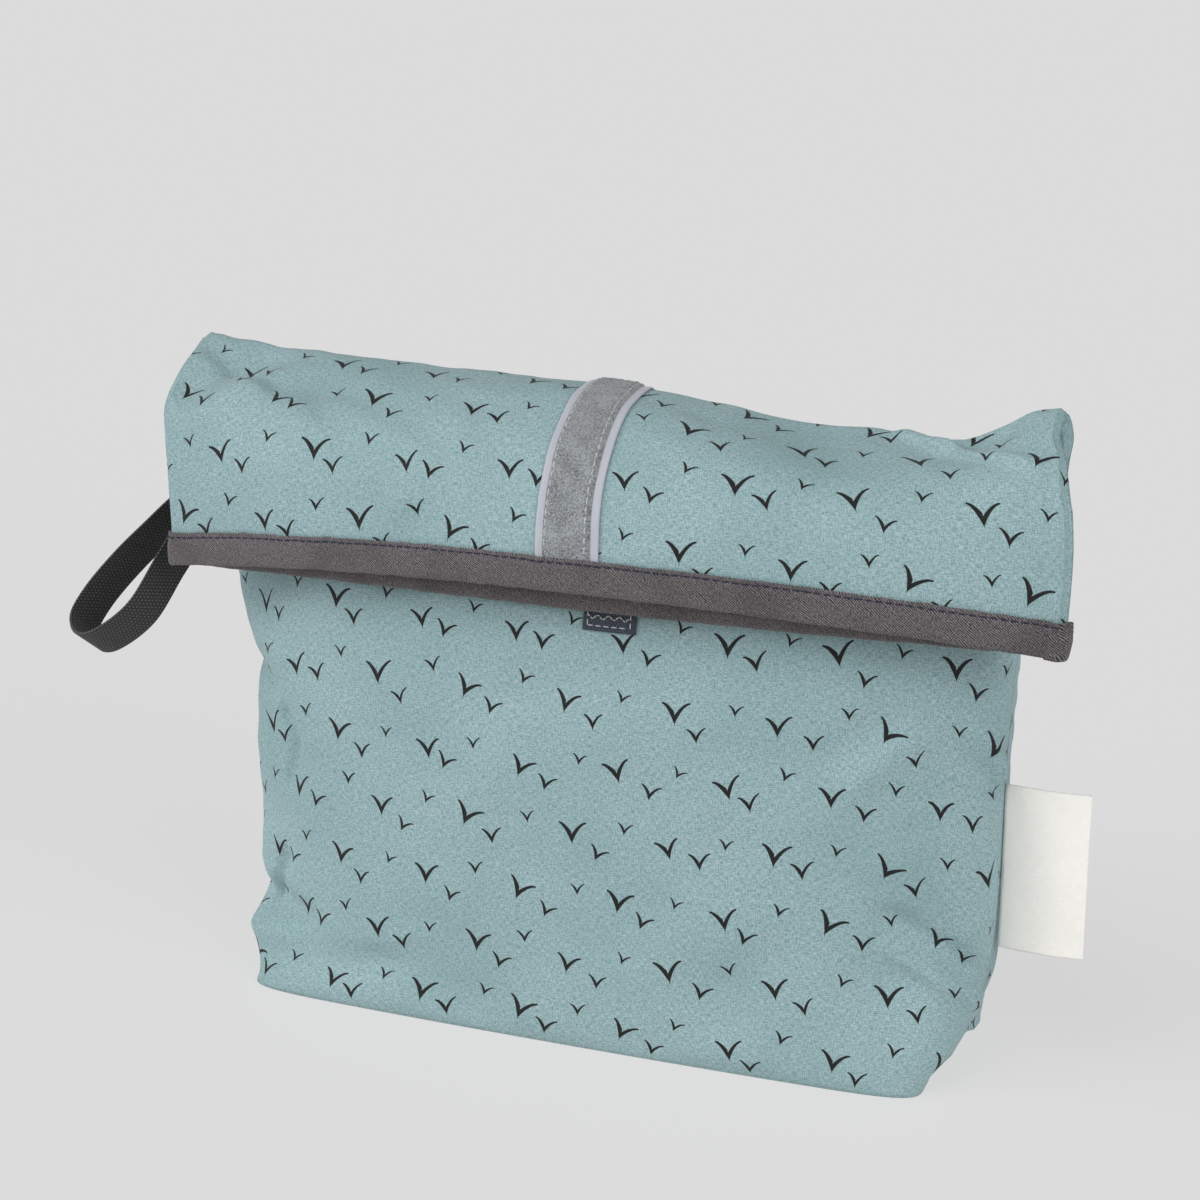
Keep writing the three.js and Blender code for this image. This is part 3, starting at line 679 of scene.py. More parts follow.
def mark_group():
    """A node group that prints one V-shaped tick in every cell of a brick grid.

    Each tick is moved, tilted and scaled by its cell's random numbers. An arm's middle line rises from the
    point as height x (1 - (1 - t) ^ bend), where t runs from 0 at the point to 1 at the tip, and its half
    width shrinks towards the tip.
    """
    group = bpy.data.node_groups.new("Tick marks", "ShaderNodeTree")
    numbers = ("Cell Width", "Cell Height", "Start U", "Start V", "Size", "Seed", "Jitter", "Tilt")
    group.interface.new_socket(name="Cloth", in_out="INPUT", socket_type="NodeSocketVector")
    for name in numbers:
        group.interface.new_socket(name=name, in_out="INPUT", socket_type="NodeSocketFloat")
    group.interface.new_socket(name="Ink", in_out="OUTPUT", socket_type="NodeSocketFloat")
    into = node(group, "NodeGroupInput").outputs
    cloth, width, height, start_u, start_v, size, seed, jitter, tilt = (
        Wire(group, into[name]) for name in ("Cloth", *numbers)
    )
    along_u, along_v, _ = cloth.split()
    v = (along_v + start_v) / height
    row = v.math("FLOOR", v)
    u = (along_u + start_u) / width + row.math("FLOORED_MODULO", row, 2.0) * 0.5
    column = u.math("FLOOR", u)
    cell = row.make("ShaderNodeCombineXYZ", {0: column, 1: row, 2: seed})
    chance = cell.make("ShaderNodeTexWhiteNoise", {"Vector": cell}, "Color", noise_dimensions="3D")
    chance = chance.split("Color")
    x = (u - column - 0.5) * width - (chance[0] - 0.5) * jitter
    y = (v - row - 0.5) * height - (chance[1] - 0.5) * jitter
    turn = (chance[2] - 0.5) * tilt
    cos, sin = turn.math("COSINE", turn), turn.math("SINE", turn)
    size = size * (0.9 + chance[1] * 0.2)
    across, up = (x * cos + y * sin) / size, (y * cos - x * sin) / size
    right = across.math("GREATER_THAN", across, 0.0)
    reach, tall = 0.82 + right * 0.28, 1.02 + right * -0.04
    t = abs(across) / reach
    left_over = t.math("MAXIMUM", 1.0 - t, 0.0)
    line = tall * (1.0 - left_over**1.75)
    steep = tall / reach * (1.75 * left_over**0.75)
    flat = 1.0 / steep.math("SQRT", 1.0 + steep * steep)
    off = abs(up + 0.5 - line) * flat
    hold = 0.045 + (0.135 - right * 0.045) * left_over
    edge, inside = (off - hold).ease(-0.012, 0.03, 1.0, 0.0), t.ease(0.98, 1.02, 1.0, 0.0)
    node(group, "NodeGroupOutput", {0: edge.math("MULTIPLY", edge, inside, clamp=True)})
    return group


# The ticks' three sizes: start along u and v, size in millimetres, seed
TICKS = ((0.0, 0.0, 4.9, 1.0), (-9.0, 5.0, 3.7, 5.0), (15.4, -3.8, 2.8, 9.0))
TICK_CELL = (35.5, 21.5)
TICK_JITTER = 3.4
TICK_TILT = 0.75


def printed_cotton(colours):
    """Heathered plain weave: threads are two noises drawn out along u and v. The ticks are printed on it in
    three sizes."""
    material, cloth = start_material("printed_cotton")
    threads = cloth.threads(3.0, 0.62, roughness=0.6) + cloth.threads(0.56, 3.0, 31.0, 0.6)
    speck = cloth.noise(3.2, 2, 0.6)
    light = (threads * 0.36 + speck * 0.28).ease(0.39, 0.61)
    colour = light.mix(colours.shade, colours.light)
    colour = cloth.threads(1.1, 2.8, 7.0).ease(0.58, 0.74, 0.0, 0.4).mix(colour, colours.fleck)
    colour = cloth.noise(0.02).ease(0.35, 0.7, 0.0, 0.22).mix(colour, colours.shade)
    group = mark_group()
    ink = None
    for start_u, start_v, size, seed in TICKS:
        inputs = {
            "Cloth": cloth, "Cell Width": TICK_CELL[0], "Cell Height": TICK_CELL[1], "Start U": start_u,
            "Start V": start_v, "Size": size, "Seed": seed, "Jitter": TICK_JITTER, "Tilt": TICK_TILT,
        }
        made = cloth.make("ShaderNodeGroup", inputs, node_tree=group)
        ink = made if ink is None else ink.math("MAXIMUM", ink, made)
    colour = (ink * speck.ease(0.3, 0.45, 0.86, 1.0)).mix(colour, colours.ink)
    normal = (threads + speck * 0.5).bump(0.55, 0.12)
    finish_material(colour, light.ease(0.0, 1.0, 0.82, 0.7), normal, 0.12, 0.4, 0.3)
    return material


def laminate_film(colours):
    """The waterproof film inside: pale, a little glossy, with a knitted backing that just shows through."""
    material, cloth = start_material("laminate_film")
    knit = cloth.threads(1.6, 0.7)
    colour = knit.mix(colours.film, shade_of(colours.film, 0.86))
    finish_material(colour, knit.ease(0.3, 0.7, 0.38, 0.5), knit.bump(0.3, 0.1), specular=0.45)
    return material


def twill_tape(colours):
    """Twill: slanting ridges, each a sine of u and v together, broken by the threads' own noise."""
    material, cloth = start_material("twill_tape")
    u, v, _ = cloth.split()
    slant = u + v * 1.25 + cloth.noise(0.35) * 2.2
    ridge = slant.math("SINE", slant * (2 * math.pi / 0.95)) * 0.5 + 0.5
    thread = cloth.threads(2.4, 0.7, roughness=0.6)
    tone = ridge * 0.3 + thread * 0.45 + cloth.noise(1.7, 2, 0.7) * 0.5
    colour = tone.ease(0.42, 0.86).mix(colours.binding_dark, colours.binding)
    colour = cloth.noise(0.05).ease(0.4, 0.7, 0.0, 0.25).mix(colour, colours.binding_dark)
    finish_material(colour, 0.86, (ridge + thread).bump(0.6, 0.14), 0.15, specular=0.25)
    return material


def pile_tape(colours):
    """Loop pile between two smooth selvedges: u runs across the tape, and past the pile it is woven flat."""
    material, cloth = start_material("pile_tape")
    selvedge = abs(cloth.split()[0]).ease(7.35, 7.75)
    loops = cloth.noise(1.5, 4, 0.7)
    tufts = cloth.make("ShaderNodeTexVoronoi", {"Vector": cloth, "Scale": 1.3}, "Distance")
    tone = loops * 0.9 + cloth.noise(0.16) * 0.25
    # The pile is painted darker where its loops are low, a painted shade in the gaps, with a little random tone
    # from the finer noise
    pile = tone.ease(0.42, 0.72).mix(colours.pile_gap_shade, colours.pile)
    edge = cloth.threads(1.0, 2.4).mix(shade_of(colours.selvedge, 0.86), colours.selvedge)
    height = (loops + tufts * -0.6) * selvedge.ease(0.0, 1.0, 1.0, 0.12)
    roughness = selvedge.ease(0.0, 1.0, 0.95, 0.6)
    finish_material(selvedge.mix(pile, edge), roughness, height.bump(1.0, 0.55), 0.35, 0.6, 0.2)
    return material


def hook_field(colours):
    """Hook tape: rows of small moulded hooks, a grid of dots by two sines, inside a plain woven edge."""
    material, cloth = start_material("hook_field")
    u, v, _ = cloth.split()
    across = u.math("SINE", u * (2 * math.pi / 1.15))
    along = v.math("SINE", v * (2 * math.pi / 1.6))
    dots = (across * along).ease(0.05, 0.8) * abs(u).ease(6.6, 7.0, 1.0, 0.0)
    thread = cloth.threads(2.2, 0.8)
    colour = thread.mix(shade_of(colours.hooks, 0.55), colours.hooks)
    # Painted highlight: the raised hooks are painted 2.4 times lighter than the ground
    colour = (dots * 0.7).mix(colour, shade_of(colours.hooks, 2.4))
    finish_material(colour, dots.ease(0, 1, 0.75, 0.35), (dots + thread * 0.3).bump(1.0, 0.5))
    return material


def ribbed_webbing(colours):
    """Ribs along the webbing, each crossed by short bars half a step apart from its neighbour's."""
    material, cloth = start_material("ribbed_webbing")
    u, v, _ = cloth.split()
    rib = u * (11 / 13)
    odd = rib.math("FLOORED_MODULO", rib.math("FLOOR", rib), 2.0) * 0.5
    weave = rib.hump() * (v / 1.3 + odd).hump()
    fibre = cloth.noise(2.6, 2, 0.6)
    tone = weave * 0.65 + fibre * 0.35
    # The weave's low gaps between ribs and bars are painted darker, a painted shade, with some random tone from
    # the fibre noise
    colour = tone.ease(0.15, 0.85).mix(colours.webbing_gap_shade, colours.webbing)
    finish_material(colour, 0.72, (weave + fibre * 0.25).bump(1.0, 0.3), 0.1, 0.4, 0.35)
    return material


def cream_cotton(colours):
    """Plain cotton tape: fine threads both ways and a little unevenness."""
    material, cloth = start_material("cream_cotton")
    threads = (cloth.threads(2.6, 0.3) + cloth.threads(0.3, 2.6, 17.0)) * 0.5
    colour = threads.ease(0.35, 0.65).mix(colours.tab_dark, colours.tab)
    colour = cloth.noise(0.07).ease(0.45, 0.75, 0.0, 0.3).mix(colour, colours.tab_dark)
    finish_material(colour, 0.8, threads.bump(0.5, 0.1), 0.1, specular=0.25)
    return material


def sewing_thread(name, colour):
    """Twisted thread: a slanting noise that darkens and lifts each strand."""
    material, place = start_material(name, True)
    strand = place.noise(4200.0, 2, 0.6)
    finish_material(strand.mix(shade_of(colour, 0.65), colour), 0.7, strand.bump(0.6, 0.08), specular=0.3)
    return material


def studio_paper(colour, glow):
    """The floor's matt paper, with a faint mottle. It is lit from below as well, so that shadows on it are
    faint."""
    material, place = start_material("studio_paper", True)
    mottle = place.noise(3.0) * 0.05
    made = mottle.mix(shade_of(colour, PAPER_MATT), shade_of(colour, PAPER_MATT * 0.8))
    shader = finish_material(made, 0.95, specular=0.0)
    shader.inputs["Emission Color"].default_value = opaque(colour)
    shader.inputs["Emission Strength"].default_value = glow
    return material


# Shapes of the pieces
@functools.lru_cache
def panel(face, wrinkle):
    return Panel(face, wrinkle)


def across_at(cloth, x, v):
    """The u at which a panel's row at each v reaches an x."""
    rows = cloth.place(cloth.u[None], v[:, None])[0][..., 0]
    return np.array([np.interp(at, row, cloth.u) for at, row in zip(np.broadcast_to(x, v.shape), rows)])


def loop_tape_middle(cloth, v):
    """The u of the loop tape's middle line, which leans to the left as it leaves the binding."""
    away = (cloth.v[-1] - BINDING_WIDTH - v) / LOOP_TAPE_LENGTH
    return across_at(cloth, LOOP_TAPE_X - LOOP_TAPE_LEAN * away, v)


def tape_bump(u, cloth):
    """How far the binding rises over the end of the loop tape."""
    middle = loop_tape_middle(cloth, cloth.v[-1:] - BINDING_WIDTH)[0]
    return 0.8 * smooth((LOOP_TAPE_WIDTH / 2 + 2.5 - np.abs(u - middle)) / 3)


def stitch_row(cloth, u, v, lift, stitch, gap):
    """Starts, ends and ups of a row of stitches on a panel: a path is cut into equal steps by its length, and
    every step holds one stitch and one gap."""
    points, ups = cloth.place(u, v, lift)
    far = np.r_[0, np.cumsum(np.linalg.norm(np.diff(points, axis=0), axis=1))]
    begin = np.arange(int(far[-1] / (stitch + gap))) * (stitch + gap)

    def at(distance, grid):
        return np.stack([np.interp(distance, far, grid[:, k]) for k in range(3)], -1)

    return at(begin, points), at(begin + stitch, points), unit(at(begin + stitch / 2, ups))


def thread_piece(name, rows, radius, thread, colour, slot):
    """One piece of many stitches, from a list of stitch rows."""
    starts, ends, ups = (np.concatenate(part) for part in zip(*rows))
    points, faces = capsules(starts, ends, ups, radius)
    return new_piece(name, points, faces, [sewing_thread(thread, colour)], slot)


def seam_at(z, side):
    """The side seam at heights, just clear of the cloth."""
    fine = np.linspace(0, FOLD, 2001)
    s = np.interp(z, TRACK["z_middle"](fine), fine)[:, None]
    seam = face_points(s, half_widths(s), "front", np.full_like(s, side))[:, 0]
    return np.stack([seam[:, 0] + side * FIT, seam[:, 1] + FIT / 2, z], -1)


def centripetal(knots, count):
    """A Catmull-Rom curve through knots, each span timed by the square root of its length, resampled into
    equal steps."""
    knots = np.concatenate([[2 * knots[0] - knots[1]], knots, [2 * knots[-1] - knots[-2]]])
    time = np.r_[0, np.cumsum(np.linalg.norm(np.diff(knots, axis=0), axis=1) ** 0.5)]
    points = []
    for i in range(1, len(knots) - 2):
        t = np.linspace(time[i], time[i + 1], 61)[:-1, None]
        t0, t1, t2, t3 = time[i - 1 : i + 3]
        p0, p1, p2, p3 = knots[i - 1 : i + 3]
        a1 = (t1 - t) / (t1 - t0) * p0 + (t - t0) / (t1 - t0) * p1
        a2 = (t2 - t) / (t2 - t1) * p1 + (t - t1) / (t2 - t1) * p2
        a3 = (t3 - t) / (t3 - t2) * p2 + (t - t2) / (t3 - t2) * p3
        b1 = (t2 - t) / (t2 - t0) * a1 + (t - t0) / (t2 - t0) * a2
        b2 = (t3 - t) / (t3 - t1) * a2 + (t - t1) / (t3 - t1) * a3
        points.append((t2 - t) / (t2 - t1) * b1 + (t - t1) / (t2 - t1) * b2)
    points = np.concatenate([*points, knots[-2:-1]])
    far = np.r_[0, np.cumsum(np.linalg.norm(np.diff(points, axis=0), axis=1))]
    even = np.linspace(0, far[-1], count)
    return np.stack([np.interp(even, far, points[:, k]) for k in range(3)], -1), even


# Settings
def colour_setting(name, description, code):
    return bpy.props.FloatVectorProperty(
        name=name, description=description, default=linear(code), size=3, min=0.0, max=1.0, subtype="COLOR"
    )


def length_setting(name, description, millimetres):
    return bpy.props.FloatProperty(
        name=name, description=description, default=millimetres * MM, min=0.0, subtype="DISTANCE",
        unit="LENGTH", precision=5,
    )


def angle_setting(name, description, degrees):
    return bpy.props.FloatProperty(
        name=name, description=description, default=math.radians(degrees), subtype="ANGLE", unit="ROTATION"
    )


def strength_setting(name, description, strength):
    return bpy.props.FloatProperty(name=name, description=description, default=strength, min=0.0)


class BagColours(bpy.types.PropertyGroup):
    """Colours of the bag's cloths, tapes and threads."""

    light: colour_setting("Print cloth, light", "The cotton's lighter threads", "adc1c6")
    shade: colour_setting("Print cloth, shade", "The cotton's darker threads", "6c9193")
    fleck: colour_setting("Print cloth, flecks", "Pale slubs in the cotton", "c6d5d8")
    ink: colour_setting("Print", "The ticks printed on the cotton", "171415")
    film: colour_setting("Film", "The waterproof film inside", "d4d8d8")
    binding: colour_setting("Binding", "The mouth binding's lighter threads", "868082")
    binding_dark: colour_setting("Binding, dark", "The mouth binding's darker threads", "201c1e")
    pile: colour_setting("Loop pile", "The loop tape's lighter loops", "a9aeb1")
    # Painted shade: the darker colour laid in the gaps between the loops, where the pile is lowest
    pile_gap_shade: colour_setting("Loop pile, dark", "The gaps between the loops", "62676b")
    selvedge: colour_setting("Selvedge", "The loop tape's flat woven edges", "b9bcc6")
    hooks: colour_setting("Hook tape", "The hook tape's ground", "3e4652")
    webbing: colour_setting("Webbing", "The webbing's ribs", "504c4e")
    # Painted shade: the darker colour laid in the gaps between the ribs and bars
    webbing_gap_shade: colour_setting("Webbing, dark", "The gaps between the ribs", "1d1b1c")
    tab: colour_setting("Tab", "The tab's cotton", "fbf9f4")
    tab_dark: colour_setting("Tab, dark", "The tab's shaded threads", "f5f2ec")
    navy: colour_setting("Binding thread", "The stitches along the binding", "2b3049")
    pale: colour_setting("Tape thread", "The stitches along the tapes", "dadcdc")
    teal: colour_setting("Seam thread", "The stitches along the side seams", "7fa9a7")


class BagSewing(bpy.types.PropertyGroup):
    """Sizes of the stitches and of the parts sewn on."""

    wrinkle: bpy.props.FloatProperty(
        name="Wrinkles", description="How strong the cloth's small creases are", default=1.0, min=0.0,
        max=1.5, subtype="FACTOR",
    )
    stitch: length_setting("Stitch", "Length of one stitch", 2.3)
    gap: length_setting("Gap", "Gap between two stitches", 0.75)
    thread: length_setting("Thread", "Radius of the sewing thread", 0.24)
    pile: length_setting("Pile", "Height of the loop tape's pile above its selvedges", 1.1)
    tab_reach: length_setting("Tab reach", "Side seam to the tab's folded edge", 27.0)
    tab_height: length_setting("Tab height", "Height of the tab", 54.0)
    tab_foot: length_setting("Tab foot", "Floor to the tab's lower edge", 40.0)


class BagStage(bpy.types.PropertyGroup):
    """The camera, lights and floor round the bag."""

    lens: bpy.props.FloatProperty(
        name="Lens", description="Focal length of the camera", default=84.0, min=20.0, max=200.0,
        unit="CAMERA",
    )
    azimuth: angle_setting("Azimuth", "The camera's turn round the bag from its front", 21.5)
    elevation: angle_setting("Elevation", "The camera's angle above the floor", 17.0)
    distance: length_setting("Distance", "Camera to the point that it looks at", 894.84)
    key: strength_setting("Key light", "Strength of the main light", 1.0)
    sides: strength_setting("Side lights", "Strength of the two lights beside the bag", 1.4)
    fill: strength_setting("Fill light", "Strength of the light all round", 0.15)
    floor: colour_setting("Floor", "The paper under the bag", "dadada")
    glow: strength_setting("Floor glow", "Light through the paper", 0.86)


# Pieces
class WETBAG_OT_stage(bpy.types.Operator):
    """Makes the floor, the lights and the camera"""

    bl_idname = "wetbag.stage"
    bl_label = "Stage"
    LOOK_AT = (-0.00553, 0.0, 0.1383)
    SENSOR_MM = 36
    FLOOR_HALF = 9.0
    FLOOR_DROP = 0.0002
    # Directions from the bag to the three suns, and how wide each is in degrees, for soft shadows
    TO_KEY, KEY_SPREAD = (-0.2, -0.6, 0.9), 36
    TO_LEFT, TO_RIGHT, SIDE_SPREAD = (-0.85, -0.45, 0.4), (0.85, -0.45, 0.4), 40
    LEFT_GAIN = 1.15

    def execute(self, context):
        stage = context.scene.bag_stage
        mesh = bpy.data.meshes.new("studio_floor")
        corners = [(x * self.FLOOR_HALF, y * self.FLOOR_HALF, -self.FLOOR_DROP)
                   for x, y in ((-1, -1), (1, -1), (1, 1), (-1, 1))]
        mesh.from_pydata(corners, [], [(0, 1, 2, 3)])
        mesh.materials.append(studio_paper(stage.floor, stage.glow))
        floor = bpy.data.objects.new("studio_floor", mesh)
        context.scene.collection.objects.link(floor)
        self.add_sun("key_light", self.TO_KEY, stage.key, self.KEY_SPREAD)
        self.add_sun("left_light", self.TO_LEFT, stage.sides * self.LEFT_GAIN, self.SIDE_SPREAD)
        self.add_sun("right_light", self.TO_RIGHT, stage.sides, self.SIDE_SPREAD)
        world = bpy.data.worlds.new("studio")
        world.use_nodes = True
        world.node_tree.nodes["Background"].inputs["Color"].default_value = (1, 1, 1, 1)
        world.node_tree.nodes["Background"].inputs["Strength"].default_value = stage.fill
        context.scene.world = world
        context.scene.view_settings.view_transform = "Standard"
        camera = bpy.data.objects.new("photo_camera", bpy.data.cameras.new("photo_camera"))
        camera.data.lens = stage.lens
        camera.data.sensor_width = self.SENSOR_MM
        away = Vector((
            math.sin(stage.azimuth) * math.cos(stage.elevation),
            -math.cos(stage.azimuth) * math.cos(stage.elevation),
            math.sin(stage.elevation),
        ))
        camera.location = Vector(self.LOOK_AT) + away * stage.distance
        camera.rotation_euler = away.to_track_quat("Z", "Y").to_euler()
        context.scene.collection.objects.link(camera)
        context.scene.camera = camera
        return {"FINISHED"}

    def add_sun(self, name, towards, strength, spread):
        """A sun seen from the bag in one direction."""
        light = bpy.data.lights.new(name, "SUN")
        light.energy = strength
        light.angle = math.radians(spread)
        lamp = bpy.data.objects.new(name, light)
        lamp.rotation_euler = Vector(towards).to_track_quat("Z", "Y").to_euler()
        bpy.context.scene.collection.objects.link(lamp)


class WETBAG_OT_cloth(bpy.types.Operator):
    """Makes the front and back panels of printed cotton with the film inside"""

    bl_idname = "wetbag.cloth"
    bl_label = "Cloth panels"
    # Where the back's print starts at the mouth, along its length
    PRINT_START = 102

    def execute(self, context):
        colours, sewing = context.scene.bag_colours, context.scene.bag_sewing
        materials = [printed_cotton(colours), laminate_film(colours)]
        for face in ("front", "back"):
            made = panel(face, sewing.wrinkle)
            inner = made.points - made.normals * CLOTH
            points, faces, top, under = slab(made.points, inner, face == "back")
            step = np.linalg.norm(np.diff(made.points, axis=0), axis=2)
            along = np.concatenate([0 * step[:1], np.cumsum(step, 0)])
            up = along - along[made.base_rows] if face == "front" else self.PRINT_START + along[-1] - along
            spot = np.stack(np.broadcast_arrays(made.u, up, 0 * up), -1).reshape(-1, 3)
            skin = np.zeros(len(faces), int)
            skin[top : top + under] = 1
            piece = new_piece(face + "_cloth", points, faces, materials, "print_cloth", face + "_panel",
                              np.tile(spot, (2, 1)), skin)
        return {"FINISHED"}


class WETBAG_OT_binding(bpy.types.Operator):
    """Makes the twill tape that binds the mouth, with its overlapped join"""

    bl_idname = "wetbag.binding"
    bl_label = "Mouth binding"
    # Across the binding: distance above the mouth edge, and lift off the cloth's outer face
    PROFILE = np.array([
        (10, 0.35), (10.1, 0.8), (9.8, 1.15), (9.2, 1.2), (8.8, 0.85), (8.4, 1.15), (6, 1.22), (3, 1.15),
        (1, 1.05), (0, 0.95), (-0.6, 0.7), (-0.95, 0.2), (-1, -0.5), (-0.95, -1.2), (-0.6, -1.7), (0, -1.95),
        (3, -2.1), (8.4, -2.1), (8.8, -1.85), (9.2, -2.15), (9.8, -2.1), (10.1, -1.8), (10, -1.3), (5, -1.3),
        (0, -1.3), (-0.35, -0.9), (-0.35, -0.1), (0, 0.3), (5, 0.3),
    ])
    # The join's place along the mouth, and how far its upper end rises over the lower and drops past it
    JOIN = 145.6
    LAP = 0.6
    LAP_DROP = 0.45
    # Where the back's weave starts along u, so that it differs from the front's
    BACK_WEAVE = 310

    def execute(self, context):
        sewing = context.scene.bag_sewing
        over, height = self.PROFILE.T
        rings = []
        for face in ("front", "back"):
            cloth = panel(face, sewing.wrinkle)
            u = np.sort(np.r_[cloth.u, self.JOIN - 0.05, self.JOIN + 0.05, self.JOIN + 0.8])
            lap = smooth((u - self.JOIN + 0.05) / 0.1)
            top = height > 0.5
            lift = height + 0 * u[:, None] + top * (lap * self.LAP)[:, None]
            under = tape_bump(u, cloth) if face == "back" else 0 * u
            lift = lift + top * under[:, None] * smooth((over - 6) / 4)
            drop = self.LAP_DROP * lap[:, None] * (over < 1)
            wave = 0.12 * ripple(u[:, None], over[None], 21, 6, 30, 24)
            points = cloth.place(u[:, None], cloth.v[-1] - over + drop + wave, lift)[0]
            woven = u[:, None] + (self.BACK_WEAVE if face == "back" else 0)
            spot = np.stack(np.broadcast_arrays(woven, over, 0 * lift), -1)
            rings.append((points, spot) if face == "front" else (points[::-1], spot[::-1]))
        points, spots = (np.concatenate(part) for part in zip(*rings))
        faces = grid_faces(len(points), len(self.PROFILE), close_rows=True, close_columns=True)
        flat, spots = points.reshape(-1, 3), spots.reshape(-1, 3)
        twill = twill_tape(context.scene.bag_colours)
        new_piece("binding", flat, outward(flat, faces), [twill], "grey_twill", "mouth_binding", spots)
        return {"FINISHED"}


class WETBAG_OT_loop_tape(bpy.types.Operator):
    """Makes the loop half of the hook-and-loop tape, from the binding over the fold and down the back"""

    bl_idname = "wetbag.loop_tape"
    bl_label = "Loop tape"
    COLUMNS = 56
    STEP = 0.5
    PILE_LEFT = -7.9
    PILE_RIGHT = 6.9
    # How far the tape reaches in under the binding
    TUCKED_IN = 0.4
    # The sewn groove's distance from the pile's middle line, half width, and depth as a share of the pile
    GROOVE = (6.35, 0.45, 0.45)

    def execute(self, context):
        sewing = context.scene.bag_sewing
        cloth = panel("back", sewing.wrinkle)
        end = cloth.v[-1] - BINDING_WIDTH + self.TUCKED_IN
        start = cloth.v[-1] - BINDING_WIDTH - LOOP_TAPE_LENGTH
        v = np.linspace(start, end, int((end - start) / self.STEP))[:, None]
        over = np.linspace(-0.5, 0.5, self.COLUMNS + 1) * LOOP_TAPE_WIDTH
        fuzz = ripple(over, v, 31, 0.9, 2.6, 60)
        pile = smooth((over - self.PILE_LEFT) / 0.7) * smooth((self.PILE_RIGHT - over) / 0.7)
        pile = pile * smooth((end - v) / 1.6 + 0.25)
        middle, wide, deep = self.GROOVE
        groove = np.exp(-(((np.abs(over + 0.5) - middle) / wide) ** 2))
        edge = smooth((LOOP_TAPE_WIDTH / 2 - np.abs(over)) / 0.5) * 0.25
        top = FIT + 0.3 + edge + (sewing.pile / MM * (1 - deep * groove) + 0.15 * fuzz) * pile
        side = 0.16 * ripple(over, v, 33, 1.0, 2.4, 40) * pile
        tape_piece("loop_tape_pile", cloth, loop_tape_middle(cloth, v[:, 0]), v, over, side, top,
                   [pile_tape(context.scene.bag_colours)], "silver_pile", "loop_tape")
        return {"FINISHED"}


class WETBAG_OT_hook_tape(bpy.types.Operator):
    """Makes the hook half of the hook-and-loop tape, on the front below the flap"""

    bl_idname = "wetbag.hook_tape"
    bl_label = "Hook tape"
    COLUMNS = 40
    STEP = 0.5

    def execute(self, context):
        cloth = panel("front", context.scene.bag_sewing.wrinkle)
        foot, head = cloth.height_v(HOOK_TAPE_FOOT), cloth.height_v(HOOK_TAPE_FOOT + HOOK_TAPE_LENGTH)
        v = np.linspace(foot, head, int((head - foot) / self.STEP))[:, None]
        over = np.linspace(-0.5, 0.5, self.COLUMNS + 1) * HOOK_TAPE_WIDTH
        field = smooth((6.9 - np.abs(over)) / 0.5) * smooth((v - foot - 1.6) / 0.5)
        rise = FIT + 0.35 + smooth((HOOK_TAPE_WIDTH / 2 - np.abs(over)) / 0.5) * 0.2
        top = rise + field * (0.28 + 0.06 * ripple(over, v, 41, 0.9, 2, 40))
        tape_piece("hook_tape_field", cloth, across_at(cloth, HOOK_TAPE_X, v[:, 0]), v, over, 0 * top, top,
                   [hook_field(context.scene.bag_colours)], "slate_hook", "hook_tape")
        return {"FINISHED"}


class WETBAG_OT_webbing(bpy.types.Operator):
    """Makes the webbing loop that hangs forward and down from the left side seam"""

    bl_idname = "wetbag.webbing"
    bl_label = "Webbing loop"
    WIDTH = 13.0
    WALL = 1.3
    HEIGHT = 164.5
    REACH = 74.5
    OPEN = 30.0
    FREE = 0.5
    RIBS = 11
    RIB_RISE = 0.16
    EDGE = 0.6
    STEPS = 300
    HANG = np.array([-0.585, -0.33, -0.68])
    ACROSS = np.array([0.41, 0.64, -0.65])
    # Along the middle line: shares of the reach and of half the gap
    ROUTE = np.array([
        (0.12, -0.25), (0.36, -0.55), (0.62, -0.68), (0.85, -0.55), (0.96, -0.27), (0.99, 0.12), (0.98, 0.55),
        (0.91, 0.95), (0.7, 1.25), (0.46, 0.74), (0.2, 0.2),
    ])

    def execute(self, context):
        hang = unit(self.HANG)
        spread = unit(np.cross(hang, self.ACROSS))
        seat = seam_at(np.array([self.HEIGHT]), -1)[0]
        apart = np.array([0, (self.WALL + FIT) * 0.5, 0])
        free = seat + hang * self.ROUTE[:, :1] * self.REACH + spread * self.ROUTE[:, 1:] * self.OPEN / 2
        path, even = centripetal(np.concatenate([[seat + apart], free, [seat - apart]]), self.STEPS)
        ends = seam_at(self.HEIGHT + np.array([0.5, -0.5]) * self.WIDTH, -1)
        seam = unit(ends[1] - ends[0])
        twist = smooth((path - seat) @ hang / self.REACH / self.FREE)[:, None]
        side = unit(seam + (self.ACROSS - seam) * twist)
        out = unit(np.cross(np.gradient(path, axis=0), side))
        over, lift = self.profile()
        rings = path[:, None] + side[:, None] * over[:, None] + out[:, None] * lift[:, None]
        tube_piece("webbing", rings, (over, even[:, None], lift), [ribbed_webbing(context.scene.bag_colours)],
                   "black_webbing", "webbing_loop")
        return {"FINISHED"}

    def profile(self):
        """Distances across and lifts round the webbing. The top and underside are rows of half rounds, one
        for each rib, and the edges are rounded off."""
        share = np.linspace(-0.5, 0.5, self.RIBS * 6 + 1)
        rib = np.abs(np.sin(share * np.pi * self.RIBS + np.pi / 2 * (self.RIBS % 2)))
        inside = np.clip((0.5 - np.abs(share)) * self.WIDTH / self.EDGE, 0, 1)
        edge = np.sqrt(np.clip(1 - (1 - inside) ** 2, 0.04, 1))
        rise = (self.WALL / 2 - self.RIB_RISE + self.RIB_RISE * rib**0.7) * edge
        return np.r_[share, share[::-1]] * self.WIDTH, np.r_[rise, -rise[::-1]]


